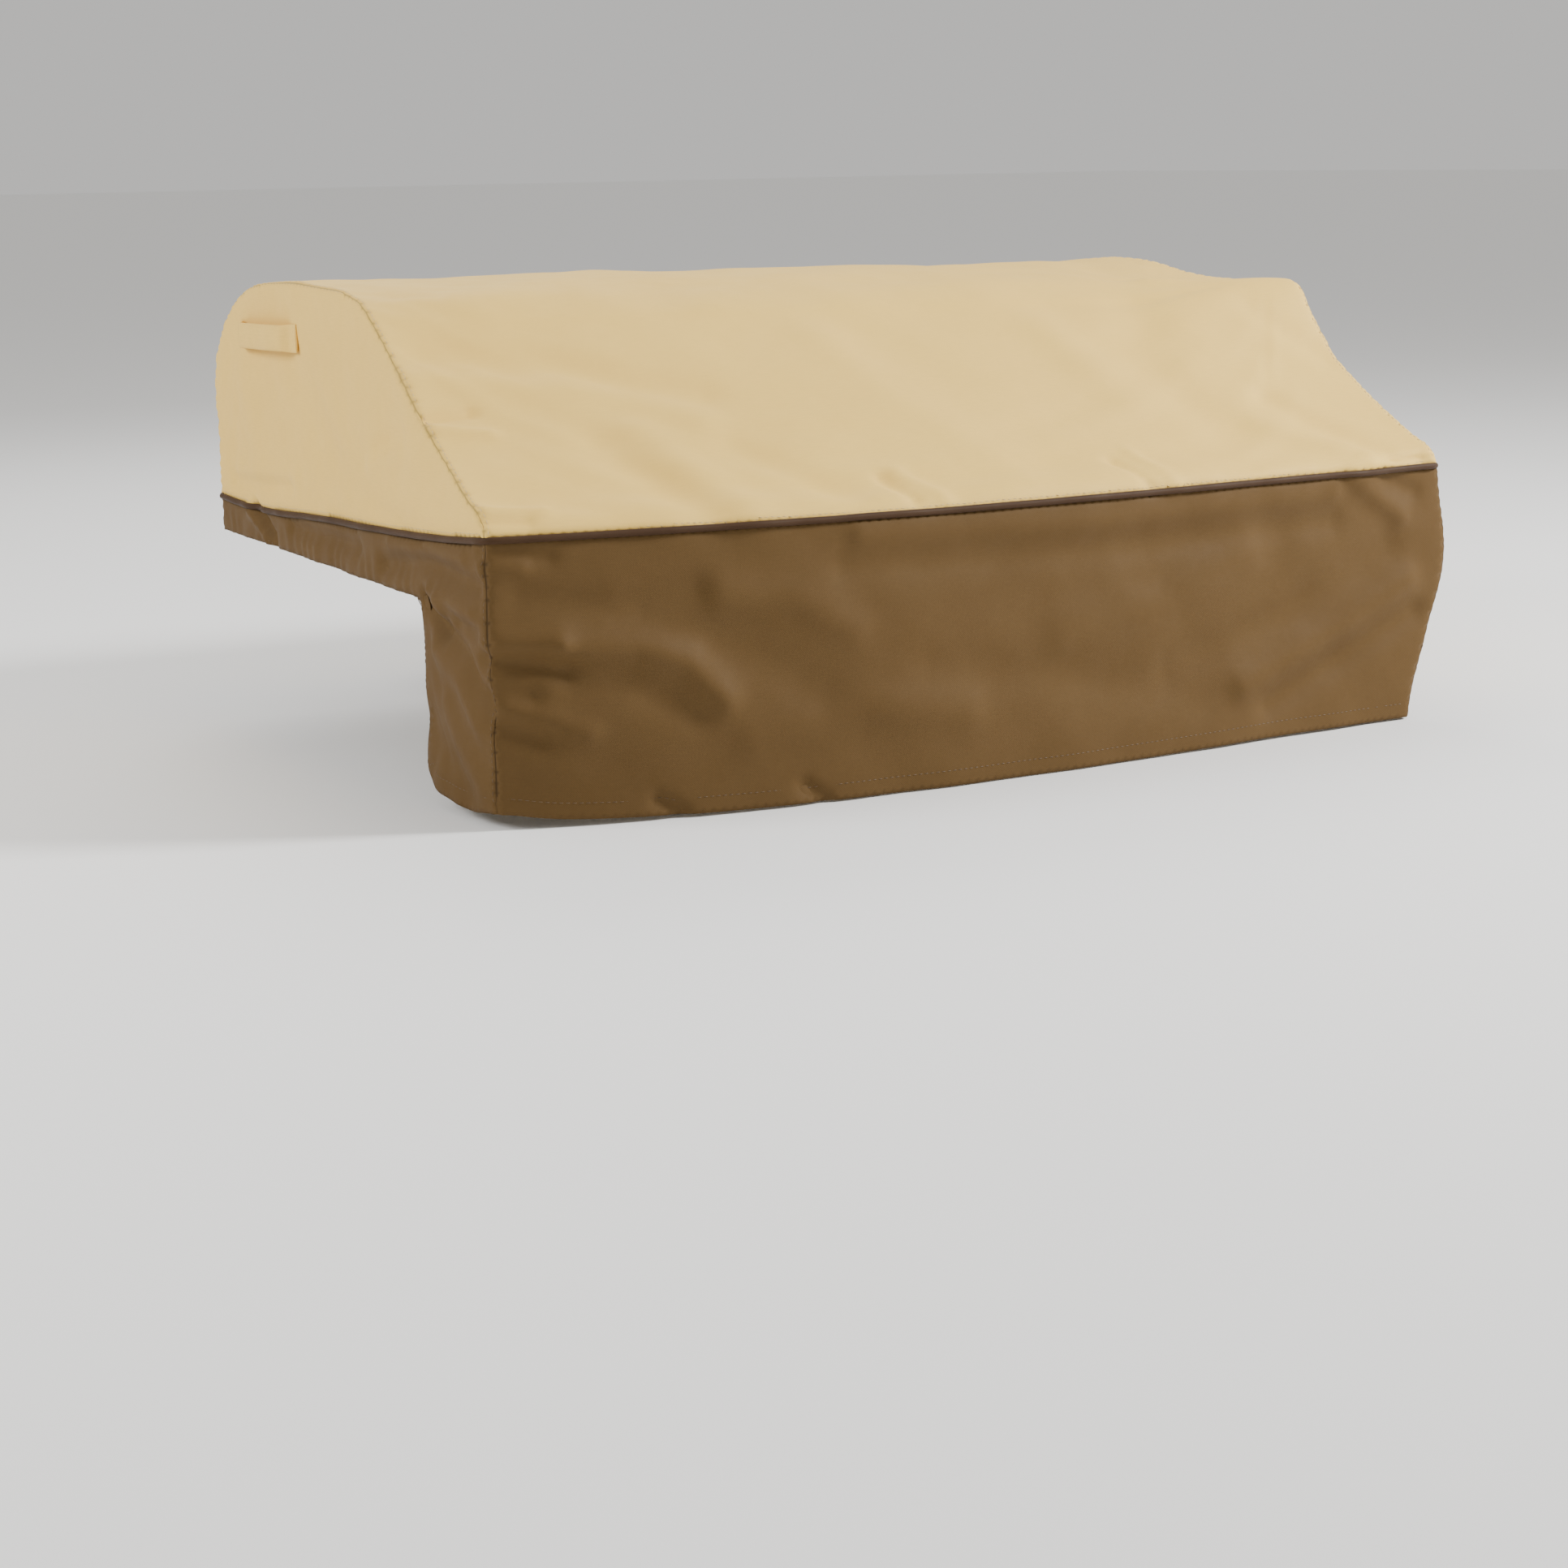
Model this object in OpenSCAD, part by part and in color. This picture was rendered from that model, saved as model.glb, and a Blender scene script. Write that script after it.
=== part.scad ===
// Cover for a built-in grill head: a sloped hood of coated cloth with a short skirt that rests on
// the counter, and a long front drop that hangs over the grill's control panel.
// Origin: centre of the mouth, on the counter's top face. +X right, +Y back, +Z up, millimetres.

/* [Outline] */
// Width across the two front corners
front_width = 1128; // [1000:4:1300]
// Width across the two back corners
back_width = 1098; // [980:2:1290]
// Distance from the origin forward to the front corners
front_reach = 405; // [360:5:440]
// How far the front face bows out between its corners
front_bow = 32; // [16:2:60]
// Distance from the origin back to the back wall
back_reach = 453; // [420:1:500]
// Thickness of the coated cloth
cloth = 2; // [1.5:0.5:3]

/* [Hood] */
// Height of the flat top above the counter
top_z = 292; // [260:4:340]
// Distance from the origin forward to where the slope meets the top
break_reach = 84; // [50:2:120]
// Radius of the bend between the slope and the top
break_radius = 90; // [40:10:140]
// Radius of the bend between the top and the back wall
back_radius = 112; // [60:4:140]
// How far the slope rises over the bow of the front face
brow_rise = 12; // [6:2:24]

/* [Piping] */
// Height of the piping above the counter along the front
piping_front_z = 76; // [60:2:90]
// Height of the piping above the counter along the back
piping_back_z = 40; // [34:2:50]
// Distance from the origin back to where the falling piping levels out
piping_level_y = 256; // [200:4:340]
// Diameter of the finished piping
piping_d = 6.8; // [5:0.2:9]
// Diameter of the filler cord in the piping
filler_d = 4.4; // [3:0.2:4.6]

/* [Front drop] */
// How far the front skirt hangs below the counter
drop = 200; // [150:5:240]
// Distance from the origin forward to the rear edge of the drop's side returns
notch_reach = 224; // [190:1:270]
// Radius of the lower rear corner of each side return
return_radius = 40; // [20:2:60]

/* [Handles] */
// Distance from the origin back to the middle of each handle
handle_y = 232; // [200:5:260]
// Height of each handle above the counter
handle_z = 235; // [200:5:240]
// Length of a handle over its sewn ends
handle_length = 210; // [180:2:220]
// Height of the strap
strap_h = 30; // [24:1:32]
// Thickness of the padded strap
strap_t = 7; // [6:0.5:8]
// Finger gap between the panel and the strap
finger_gap = 8; // [8:0.5:12]

/* [Hem cord] */
// Diameter of the elastic cord
elastic_d = 4.8; // [4:0.2:5]
// Distance between the two cord ends where they leave the hem
exit_pitch = 18; // [17:0.5:20]
// How far the cord lock can slide along the cord ends
lock_travel = 12; // [6:1:20]
// How far the lock's button can be pressed
press_travel = 2.5; // [1:0.5:2.5]

/* [Hidden] */

tan_cloth = [0.86, 0.77, 0.60];
brown_cloth = [0.46, 0.35, 0.23];
dark_brown = [0.28, 0.18, 0.09];
tape_brown = [0.36, 0.27, 0.18];
moulded_black = [0.08, 0.08, 0.08];
brass = [0.62, 0.50, 0.30];
steel = [0.70, 0.70, 0.72];
foam_white = [0.90, 0.89, 0.85];

far = 700;                                  // beyond the cover on every side
seam_gap = 1.2;                             // room between panel and skirt for the piping's flange
join_gap = 1;                               // gap between the two ends of the piping
crest_y = -(front_reach + front_bow);       // foremost line of the cover
tape = 1;                                   // thickness of the binding tape
tape_w = 20;                                // width of the binding tape
side_turn = atan2(front_width - back_width, 2 * (front_reach + back_reach));

// The cord runs in a casing along the foot of the back and side skirts.
casing_w = 7;
casing_h = 21;
casing_start = -notch_reach + 10;
cord_z = 11;
cord_inset = cloth + casing_w / 2;

// Cord lock: a moulded body with a sprung button that crosses both cord ends.
lock_front_y = back_reach + 4;
lock_depth = 16;
lock_w = 36;
lock_floor_z = 1;
lock_top_z = 19;
wall = 1.5;
button_w = 28;
button_depth = 9;
button_top_z = 23.5;
slide_gap = 0.2;
cord_slot_w = elastic_d + 0.8;
stop_y = lock_front_y + lock_depth + lock_travel + 2;
stop_depth = 10;

// Handles: a padded grip between two sewn tabs, with a soft unpadded tail at each end.
tab_length = 20;
tail_length = 12;
grip_length = handle_length - 2 * (tab_length + tail_length);
sleeve_wall = 1;
sleeve_end = 3;                             // the sleeve is closed and turned in this far at each end
sleeve_edge = 2;
foam_gap = 0.1;

// ---------- outlines ----------

function half_width(y, inset) =
    front_width / 2 - (y + front_reach) * (front_width - back_width) / 2 / (front_reach + back_reach)
    - inset;

function piping_z(y) =
    let (share = (y + front_reach) / (piping_level_y + front_reach))
    piping_front_z + (piping_back_z - piping_front_z) * min(1, max(0, share));

function arc(centre, r, from, to, steps) =
    [for (i = [0:steps]) let (a = from + (to - from) * i / steps) centre + r * [cos(a), sin(a)]];

function unit(v) = v / norm(v);

// Unit vector to the right of the way from a to b.
function right_of(a, b) = let (u = unit(b - a)) [u.y, -u.x];

// An open path moved to its right by d, with mitred corners.
function inset_path(path, d) =
    [for (i = [0:len(path) - 1])
        let (last = len(path) - 1)
        let (before = right_of(path[max(i - 1, 0)], path[max(i, 1)]))
        let (after = right_of(path[min(i, last - 1)], path[min(i + 1, last)]))
        path[i] + d * (before + after) / (1 + before * after)];

// The bowed front face seen from above, from left to right, out to half its width.
function front_arc(inset, half) =
    let (chord = front_width / 2)
    let (bow_r = (chord * chord + front_bow * front_bow) / (2 * front_bow))
    let (sweep = asin(half / (bow_r - inset)))
    arc([0, crest_y + bow_r], bow_r - inset, -90 - sweep, -90 + sweep, 16);

// Seen from above: the front, then the right side, back and left side.
function plan_outline(inset) =
    let (back_y = back_reach - inset)
    concat(
        front_arc(inset, front_width / 2 - inset),
        [[half_width(piping_level_y, inset), piping_level_y],
         [half_width(back_y, inset), back_y],
         [-half_width(back_y, inset), back_y],
         [-half_width(piping_level_y, inset), piping_level_y]]);

// Seen from the side: over the bowed front, up the slope, along the top and down the back.
function hood_outline(inset) =
    let (foot = [-front_reach, piping_front_z + brow_rise])
    let (pitch = atan2(top_z - foot.y, front_reach - break_reach))
    let (tangent = break_radius * tan(pitch / 2))
    inset_path(concat(
        [[crest_y, -far / 2], [crest_y, piping_front_z], foot],
        arc([tangent - break_reach, top_z - break_radius], break_radius, 90 + pitch, 90, 6),
        arc([back_reach - back_radius, top_z - back_radius], back_radius, 90, 0, 10),
        [[back_reach, -far / 2]]), inset);

function rounded_rectangle(w, h, r) = concat(
    arc([w / 2 - r, h / 2 - r], r, 0, 90, 4),
    arc([r - w / 2, h / 2 - r], r, 90, 180, 4),
    arc([r - w / 2, r - h / 2], r, 180, 270, 4),
    arc([w / 2 - r, r - h / 2], r, 270, 360, 4));

// ---------- building blocks ----------

module plan_prism(inset, low = -far, high = far) {
    intersection() {
        behind_front(inset);
        between_sides(inset);
        slab(-far, back_reach - inset, low, high);
    }
}

// A shape drawn in Y and Z, run through the whole width.
module side_view_prism(points) {
    translate([-far, 0, 0]) rotate([90, 0, 90]) linear_extrude(2 * far) polygon(points);
}

// Everything behind the bowed front face.
module behind_front(inset) {
    translate([0, 0, -far]) linear_extrude(2 * far)
        polygon(concat(front_arc(inset, front_width / 2 + 20), [[far, far], [-far, far]]));
}

// The hood's profile run through the whole width, cut by the bowed front.
module hood_profile(inset) {
    intersection() {
        side_view_prism(hood_outline(inset));
        behind_front(inset);
    }
}

module above_piping(gap) {
    side_view_prism([[-far, piping_front_z + gap], [-front_reach, piping_front_z + gap],
        [piping_level_y, piping_back_z + gap], [far, piping_back_z + gap], [far, far], [-far, far]]);
}

// The room between the two side walls, moved in from their outer faces.
module between_sides(inset) {
    translate([0, 0, -far]) linear_extrude(2 * far) polygon([
        [-half_width(-far, inset), -far], [half_width(-far, inset), -far],
        [half_width(far, inset), far], [-half_width(far, inset), far]]);
}

module outside_right(inset) {
    translate([0, 0, -far]) linear_extrude(2 * far) polygon([
        [half_width(-far, inset), -far], [2 * far, -far], [2 * far, far],
        [half_width(far, inset), far]]);
}

module slab(y0, y1, z0, z1) {
    translate([-far, y0, z0]) cube([2 * far, y1 - y0, z1 - z0]);
}

module left_of_right() {
    mirror([1, 0, 0]) children();
}

// A closed loop round the plan outline with a constant section; section points are
// [distance outward from the cloth, height above the piping line].
module loop_round(section) {
    base = plan_outline(0);
    n = len(base);
    m = len(section);
    points = [for (s = section) let (line = plan_outline(-s.x))
        for (i = [0:n - 1]) [line[i].x, line[i].y, piping_z(base[i].y) + s.y]];
    faces = [for (j = [0:m - 1]) for (i = [0:n - 1])
        let (a = j * n + i, b = j * n + (i + 1) % n)
        let (c = ((j + 1) % m) * n + (i + 1) % n, d = ((j + 1) % m) * n + i)
        each [[a, c, b], [a, d, c]]];
    polyhedron(points, faces);
}

// A tube along a level route.
module level_tube(route, d, sides = 8) {
    n = len(route);
    rings = [for (k = [0:sides - 1])
        let (a = 360 * (k + 0.5) / sides)
        [for (p = inset_path(route, d / 2 * cos(a))) [p.x, p.y, cord_z + d / 2 * sin(a)]]];
    points = [for (i = [0:n - 1]) for (k = [0:sides - 1]) rings[k][i]];
    walls = [for (i = [0:n - 2]) for (k = [0:sides - 1])
        let (a = i * sides + k, b = i * sides + (k + 1) % sides)
        each [[a, b, b + sides], [a, b + sides, a + sides]]];
    ends = [[for (k = [sides - 1:-1:0]) k], [for (k = [0:sides - 1]) (n - 1) * sides + k]];
    polyhedron(points, concat(walls, ends));
}

// Places children on the right side wall, at the handle: +X out of the cloth, +Y to the back.
module at_handle() {
    translate([half_width(handle_y, 0), handle_y, handle_z]) rotate([0, 0, side_turn]) children();
}

// ---------- cloth ----------

module centre_panel() {
    color(tan_cloth) difference() {
        intersection() {
            hood_profile(0);
            above_piping(seam_gap / 2);
            between_sides(cloth);
        }
        hood_profile(cloth);
    }
}

module right_side_panel() {
    color(tan_cloth) intersection() {
        hood_profile(0);
        between_sides(0);
        above_piping(seam_gap / 2);
        outside_right(cloth);
    }
}

module left_side_panel() {
    left_of_right() right_side_panel();
}

module front_skirt() {
    color(brown_cloth) difference() {
        intersection() {
            behind_front(0);
            between_sides(cloth);
            slab(-far, 0, -drop, piping_front_z - seam_gap / 2);
        }
        behind_front(cloth);
    }
}

module right_side_skirt() {
    low = -seam_gap / 2;
    color(brown_cloth) intersection() {
        plan_prism(0);
        outside_right(cloth);
        side_view_prism(concat(
            [[-far, -drop]],
            arc([-notch_reach - return_radius, return_radius - drop], return_radius, -90, 0, 8),
            [[-notch_reach, 0], [far, 0], [far, piping_back_z + low],
             [piping_level_y, piping_back_z + low], [-front_reach, piping_front_z + low],
             [-far, piping_front_z + low]]));
    }
}

module left_side_skirt() {
    left_of_right() right_side_skirt();
}

module eyelet_holes() {
    for (side = [-1, 1])
        translate([side * exit_pitch / 2, back_reach - casing_w, cord_z])
            rotate([-90, 0, 0]) cylinder(h = 2 * casing_w, d = elastic_d + 3.2, $fn = 32);
}

module back_skirt() {
    color(brown_cloth) difference() {
        intersection() {
            between_sides(cloth);
            slab(back_reach - cloth, back_reach, 0, piping_back_z - seam_gap / 2);
        }
        eyelet_holes();
    }
}

// ---------- piping and tapes ----------

module piping_cover() {
    r = piping_d / 2;
    half_tape = tape / 2;
    open = asin(half_tape / r);
    flange_end = -(cloth + 6);
    color(dark_brown) difference() {
        loop_round(concat(
            [[flange_end, -half_tape]],
            [for (i = [0:12]) let (a = 180 + open + (360 - 2 * open) * i / 12)
                [r + r * cos(a), r * sin(a)]],
            [[flange_end, half_tape]]));
        piping_core(filler_d + 0.1);
        piping_join();
    }
}

module piping_core(d) {
    loop_round([for (i = [0:9]) [piping_d / 2 + d / 2 * cos(36 * i), d / 2 * sin(36 * i)]]);
}

// The ends of the piping butt together at the middle of the back.
module piping_join() {
    translate([-join_gap / 2, 0, -far]) cube([join_gap, far, 2 * far]);
}

module piping_filler() {
    color(foam_white) difference() {
        piping_core(filler_d);
        piping_join();
    }
}

module right_seam_binding() {
    color(tape_brown) intersection() {
        difference() {
            hood_profile(cloth);
            hood_profile(cloth + tape);
        }
        above_piping(4);
        between_sides(cloth);
        outside_right(cloth + tape_w);
    }
}

module left_seam_binding() {
    left_of_right() right_seam_binding();
}

module right_corner_binding() {
    color(tape_brown) intersection() {
        difference() {
            plan_prism(cloth, 4 - drop, piping_front_z - 4);
            plan_prism(cloth + tape);
        }
        outside_right(cloth + tape_w);
        slab(-far, tape_w - front_reach, -far, far);
    }
}

module left_corner_binding() {
    left_of_right() right_corner_binding();
}

// ---------- hem cord ----------

module hem_casing() {
    color(brown_cloth) difference() {
        intersection() {
            plan_prism(cloth, 0, casing_h);
            slab(casing_start, far, -far, far);
        }
        plan_prism(cloth + casing_w);
        intersection() {
            difference() {
                plan_prism(cloth + tape, tape, casing_h - tape);
                plan_prism(cloth + casing_w - tape);
            }
            slab(casing_start + 2, far, -far, far);
        }
        eyelet_holes();
    }
}

// From its sewn end at the notch, round the back corner, out through the eyelet to the end stop.
module right_elastic_cord() {
    start_y = casing_start + 4;
    back_y = back_reach - cord_inset - 0.15;
    corner = [half_width(back_y, cord_inset), back_y];
    corner_r = 2.6;
    exit_r = 2.5;
    exit_x = exit_pitch / 2;
    route = concat(
        [[half_width(start_y, cord_inset), start_y]],
        arc(corner - [corner_r, corner_r], corner_r, side_turn, 90, 4),
        arc([exit_x + exit_r, corner.y + exit_r], exit_r, 270, 180, 4),
        [[exit_x, stop_y + stop_depth - 4]]);
    color(moulded_black) level_tube([for (i = [len(route) - 1:-1:0]) route[i]], elastic_d);
}

module left_elastic_cord() {
    left_of_right() right_elastic_cord();
}

// A pressed ring: barrel through the cloth with a flange on each face.
module right_eyelet() {
    bore_r = elastic_d / 2 + 0.2;
    barrel_r = bore_r + 1.2;
    flange_r = 7;
    flange_t = 0.8;
    lip_t = 0.3;
    color(brass) translate([exit_pitch / 2, back_reach - cloth - tape, cord_z]) rotate([-90, 0, 0])
        rotate_extrude($fn = 48) polygon([[bore_r, -lip_t], [barrel_r + 0.6, -lip_t], [barrel_r + 0.6, 0],
            [barrel_r, 0], [barrel_r, cloth + tape], [flange_r, cloth + tape],
            [flange_r - 0.3, cloth + tape + flange_t], [bore_r, cloth + tape + flange_t]]);
}

module left_eyelet() {
    left_of_right() right_eyelet();
}

module cord_bores(d, y0, depth) {
    for (side = [-1, 1])
        translate([side * exit_pitch / 2, y0, cord_z])
            rotate([-90, 0, 0]) cylinder(h = depth, d = d, $fn = 32);
}

module lock_block(w, depth, z0, z1, r) {
    translate([0, lock_front_y + lock_depth / 2, z0])
        linear_extrude(z1 - z0) polygon(rounded_rectangle(w, depth, r));
}

module cord_lock_body() {
    color(moulded_black) difference() {
        lock_block(lock_w, lock_depth, lock_floor_z, lock_top_z, 4);
        lock_block(button_w, button_depth, lock_floor_z + wall, far, 2);
        cord_bores(elastic_d + 0.4, lock_front_y - 1, lock_depth + 2);
    }
}

module cord_lock_button() {
    slot_low = cord_z - elastic_d / 2 - 0.1;
    slot_high = cord_z + elastic_d / 2 + press_travel + 0.5;
    color([0.13, 0.13, 0.13]) difference() {
        lock_block(button_w - 2 * slide_gap, button_depth - 2 * slide_gap, slot_low - 2, button_top_z, 1.8);
        for (side = [-1, 1])
            translate([side * exit_pitch / 2 - cord_slot_w / 2, lock_front_y, slot_low])
                cube([cord_slot_w, lock_depth, slot_high - slot_low]);
    }
}

// A short coil under the middle of the button.
module cord_lock_spring() {
    wire = 0.45;
    coil_r = 3.2;
    turns = 3;
    steps = 12 * turns;
    sides = 6;
    low = lock_floor_z + wall + wire / 2;
    rise = cord_z - elastic_d / 2 - 0.1 - 2 - wire / 2 - low;
    centre = [0, lock_front_y + lock_depth / 2, low];
    points = [for (i = [0:steps]) for (k = [0:sides - 1])
        let (turn = 30 * i, a = 60 * k, reach = coil_r + wire / 2 * cos(a))
        centre + [reach * cos(turn), reach * sin(turn), rise * i / steps + wire / 2 * sin(a)]];
    walls = [for (i = [0:steps - 1]) for (k = [0:sides - 1])
        let (a = i * sides + k, b = i * sides + (k + 1) % sides)
        each [[a, a + sides, b + sides], [a, b + sides, b]]];
    ends = [[for (k = [0:sides - 1]) k], [for (k = [sides - 1:-1:0]) steps * sides + k]];
    color(steel) polyhedron(points, concat(walls, ends));
}

module cord_end_stop() {
    color(moulded_black) difference() {
        translate([0, stop_y, cord_z]) rotate([-90, 0, 0])
            linear_extrude(stop_depth) polygon(rounded_rectangle(exit_pitch + 10, 10, 3));
        cord_bores(elastic_d + 0.1, stop_y - 1, stop_depth - 3 + 0.1);
    }
}

// ---------- handles ----------

module grip_bar(length, t, h) {
    translate([finger_gap + strap_t / 2, length / 2, 0]) rotate([90, 0, 0])
        linear_extrude(length) polygon(rounded_rectangle(t, h, t / 2 - 0.5));
}

module sleeve_inside(gap) {
    grip_bar(grip_length - 2 * (sleeve_end + gap), strap_t - 2 * (sleeve_wall + gap),
        strap_h - 2 * (sleeve_edge + gap));
}

module right_handle_sleeve() {
    color(tan_cloth) at_handle() difference() {
        grip_bar(grip_length, strap_t, strap_h);
        sleeve_inside(0);
    }
}

module left_handle_sleeve() {
    left_of_right() right_handle_sleeve();
}

module right_handle_foam() {
    color(foam_white) at_handle() sleeve_inside(foam_gap);
}

module left_handle_foam() {
    left_of_right() right_handle_foam();
}

// Sewn ends: a flat tab on the panel that rises to meet the padded grip.
module right_handle_tabs() {
    tab_t = 2.5;
    lift = 0.2;
    near = grip_length / 2 + 1;
    sewn = handle_length / 2 - tab_length;
    end = handle_length / 2;
    color(tan_cloth) at_handle()
        for (way = [0, 180])
            translate([0, 0, -strap_h / 2]) mirror([0, way / 180, 0])
                linear_extrude(strap_h) polygon([[lift, end], [tab_t, end], [tab_t, sewn + 4],
                    [finger_gap + strap_t, near], [finger_gap, near], [lift, sewn - 2]]);
}

module left_handle_tabs() {
    left_of_right() right_handle_tabs();
}

centre_panel();
left_side_panel();
right_side_panel();
front_skirt();
left_side_skirt();
right_side_skirt();
back_skirt();
piping_cover();
piping_filler();
left_seam_binding();
right_seam_binding();
left_corner_binding();
right_corner_binding();
hem_casing();
left_elastic_cord();
right_elastic_cord();
left_eyelet();
right_eyelet();
cord_lock_body();
cord_lock_button();
cord_lock_spring();
cord_end_stop();
left_handle_sleeve();
right_handle_sleeve();
left_handle_foam();
right_handle_foam();
left_handle_tabs();
right_handle_tabs();
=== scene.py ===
import math

import bmesh
import bpy
import numpy as np
from mathutils import Matrix, Vector
from mathutils.bvhtree import BVHTree
from mathutils.geometry import delaunay_2d_cdt


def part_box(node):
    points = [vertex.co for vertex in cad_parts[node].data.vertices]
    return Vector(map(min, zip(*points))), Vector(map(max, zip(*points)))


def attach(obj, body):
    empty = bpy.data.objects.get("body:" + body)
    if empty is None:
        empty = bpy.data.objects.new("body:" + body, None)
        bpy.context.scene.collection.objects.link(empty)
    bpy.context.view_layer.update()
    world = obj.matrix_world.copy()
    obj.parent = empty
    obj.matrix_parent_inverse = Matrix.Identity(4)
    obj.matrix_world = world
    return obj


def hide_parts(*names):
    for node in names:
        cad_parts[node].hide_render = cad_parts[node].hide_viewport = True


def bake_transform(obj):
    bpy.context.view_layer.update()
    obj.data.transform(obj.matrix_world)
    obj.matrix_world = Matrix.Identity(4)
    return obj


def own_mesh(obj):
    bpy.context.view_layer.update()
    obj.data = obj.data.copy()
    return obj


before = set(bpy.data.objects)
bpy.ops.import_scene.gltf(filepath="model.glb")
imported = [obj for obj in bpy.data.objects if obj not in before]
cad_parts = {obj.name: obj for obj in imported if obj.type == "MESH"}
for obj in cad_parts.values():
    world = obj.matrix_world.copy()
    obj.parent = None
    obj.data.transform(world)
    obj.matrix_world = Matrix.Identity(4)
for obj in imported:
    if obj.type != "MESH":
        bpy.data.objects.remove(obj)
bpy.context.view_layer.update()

# Fitted cloth cover for a built-in grill head. Metres, in the frame's own axes: origin at the centre
# of the mouth on the counter's top, +X right, +Y back, +Z up. The cloth is laid out panel by panel,
# sewn into one mesh, draped by Blender's cloth simulation, and cut back into its panels.


def box_of(node):
    low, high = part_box(node)
    return np.array(low), np.array(high)


# ---------------------------------------------------------------- sizes, from the frame
CLOTH_CAD = 0.002
side_low, side_high = box_of("right_side_panel")
skirt_low, skirt_high = box_of("front_skirt")
SEAM_HALF_GAP = 0.0006
FRONT_HALF = side_high[0]
BACK_HALF = side_low[0] + CLOTH_CAD
FRONT_Y = side_low[1]
BACK_Y = side_high[1]
BOW = FRONT_Y - skirt_low[1]
TOP_Z = side_high[2]
PIPING_Z = skirt_high[2] + SEAM_HALF_GAP
BACK_PIPING_Z = box_of("back_skirt")[1][2] + SEAM_HALF_GAP
HEM_Z = skirt_low[2]
NOTCH_Y = box_of("hem_casing")[0][1] - 0.010
CASING_H = box_of("hem_casing")[1][2]
RETURN_R = 0.040

STEP = 0.011                 # spacing of the cloth's points before subdivision
CELLS = 2000                 # in a metre of the grid that welds points the panels share
NUDGES = [np.array((a, b, c)) for a in (-0.2, 0.2) for b in (-0.2, 0.2) for c in (-0.2, 0.2)]
SLIVER = 1e-5                # twice the area, in square metres, below which a triangle is taken out
SLACK = 1.008                # how much longer the cloth is cut than it is fitted
SHOULDER, SHOULDER_R = (0.56, -0.10, 0.275), 0.090    # the cloth round this place is held still
CLOTH = 0.0011               # thickness of the shown cloth
SEAM_SINK = 0.0022           # how far its stitches draw a panel's sewn edge in
PIPING_R = 0.0034
FILLER_R = PIPING_R * 0.66
TAPE_DEPTH, TAPE_THICK, TAPE_WIDE = 0.0085, 0.0024, 0.011
HEM_BAND = 0.018             # height of the front drop's turned hem
STITCH = 0.0044              # length of one stitch
STITCH_PITCH = 0.0066
CORD_R = 0.0048 / 2 * 0.97   # the braid is a little thinner than the CAD's cord
CORD_INSET = 0.0062          # from the outside of the skirts in to the cord's middle
CORD_BEND, EXIT_BEND, EXIT_X = 0.010, 0.0025, 0.009
STRAP_LIFT, STRAP_THICK, TAB_THICK, TAB_LONG = 0.008, 0.007, 0.0030, 0.020
STRAP_ROWS, STRAP_RING = 85, 20
SEED = 7
SIDES = (("left", -1), ("right", 1))

TAN, BROWN = "tan_cloth", "brown_cloth"
PANELS = {
    "centre_panel": TAN, "left_side_panel": TAN, "right_side_panel": TAN,
    "front_skirt": BROWN, "left_side_skirt": BROWN, "right_side_skirt": BROWN, "back_skirt": BROWN,
}


# ---------------------------------------------------------------- curves
def smoothstep(a, b, x):
    t = np.clip((x - a) / (b - a), 0, 1)
    return t * t * (3 - 2 * t)


def knots_of(points):
    return np.concatenate([[0], np.cumsum(np.linalg.norm(np.diff(points, axis=0), axis=1))])


def spline(points, knots, t):
    """Smooth curve through points at the places t between the knots."""
    points, t = np.asarray(points, float), np.asarray(t, float)
    span = np.diff(knots)[:, None]
    rise = np.diff(points, axis=0) / span
    slope = np.vstack([rise[:1], (rise[:-1] * span[1:] + rise[1:] * span[:-1]) / (span[1:] + span[:-1]),
                       rise[-1:]])
    i = np.clip(np.searchsorted(knots, t, side="right") - 1, 0, len(points) - 2)
    h = span[i]
    f = ((t - knots[i]) / h[:, 0])[:, None]
    return ((2 * f**3 - 3 * f**2 + 1) * points[i] + (f**3 - 2 * f**2 + f) * h * slope[i]
            + (3 * f**2 - 2 * f**3) * points[i + 1] + (f**3 - f**2) * h * slope[i + 1])


def evenly(length, spacing=STEP):
    return max(2, int(round(length / spacing)) + 1)


def windowed(values, reach, how=np.mean):
    """Each value replaced by what how makes of it and its neighbours within reach."""
    return np.array([how(values[max(0, i - reach):i + reach + 1], axis=0) for i in range(len(values))])


# Side seam in Y and Z: up the slope, over the bend, along the top and down the back wall.
SIDE_LINE = np.array([
    (FRONT_Y, PIPING_Z), (-0.404, 0.087), (-0.360, 0.114), (-0.297, 0.149), (-0.234, 0.188),
    (-0.168, 0.232), (-0.123, 0.260), (-0.080, 0.283), (-0.040, 0.2915), (0.030, 0.295),
    (0.140, 0.2965), (0.240, 0.2945), (0.310, 0.2870), (0.369, 0.268), (0.415, 0.238),
    (0.443, 0.203), (0.453, 0.165), (0.454, 0.120), (BACK_Y, BACK_PIPING_Z)])
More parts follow.
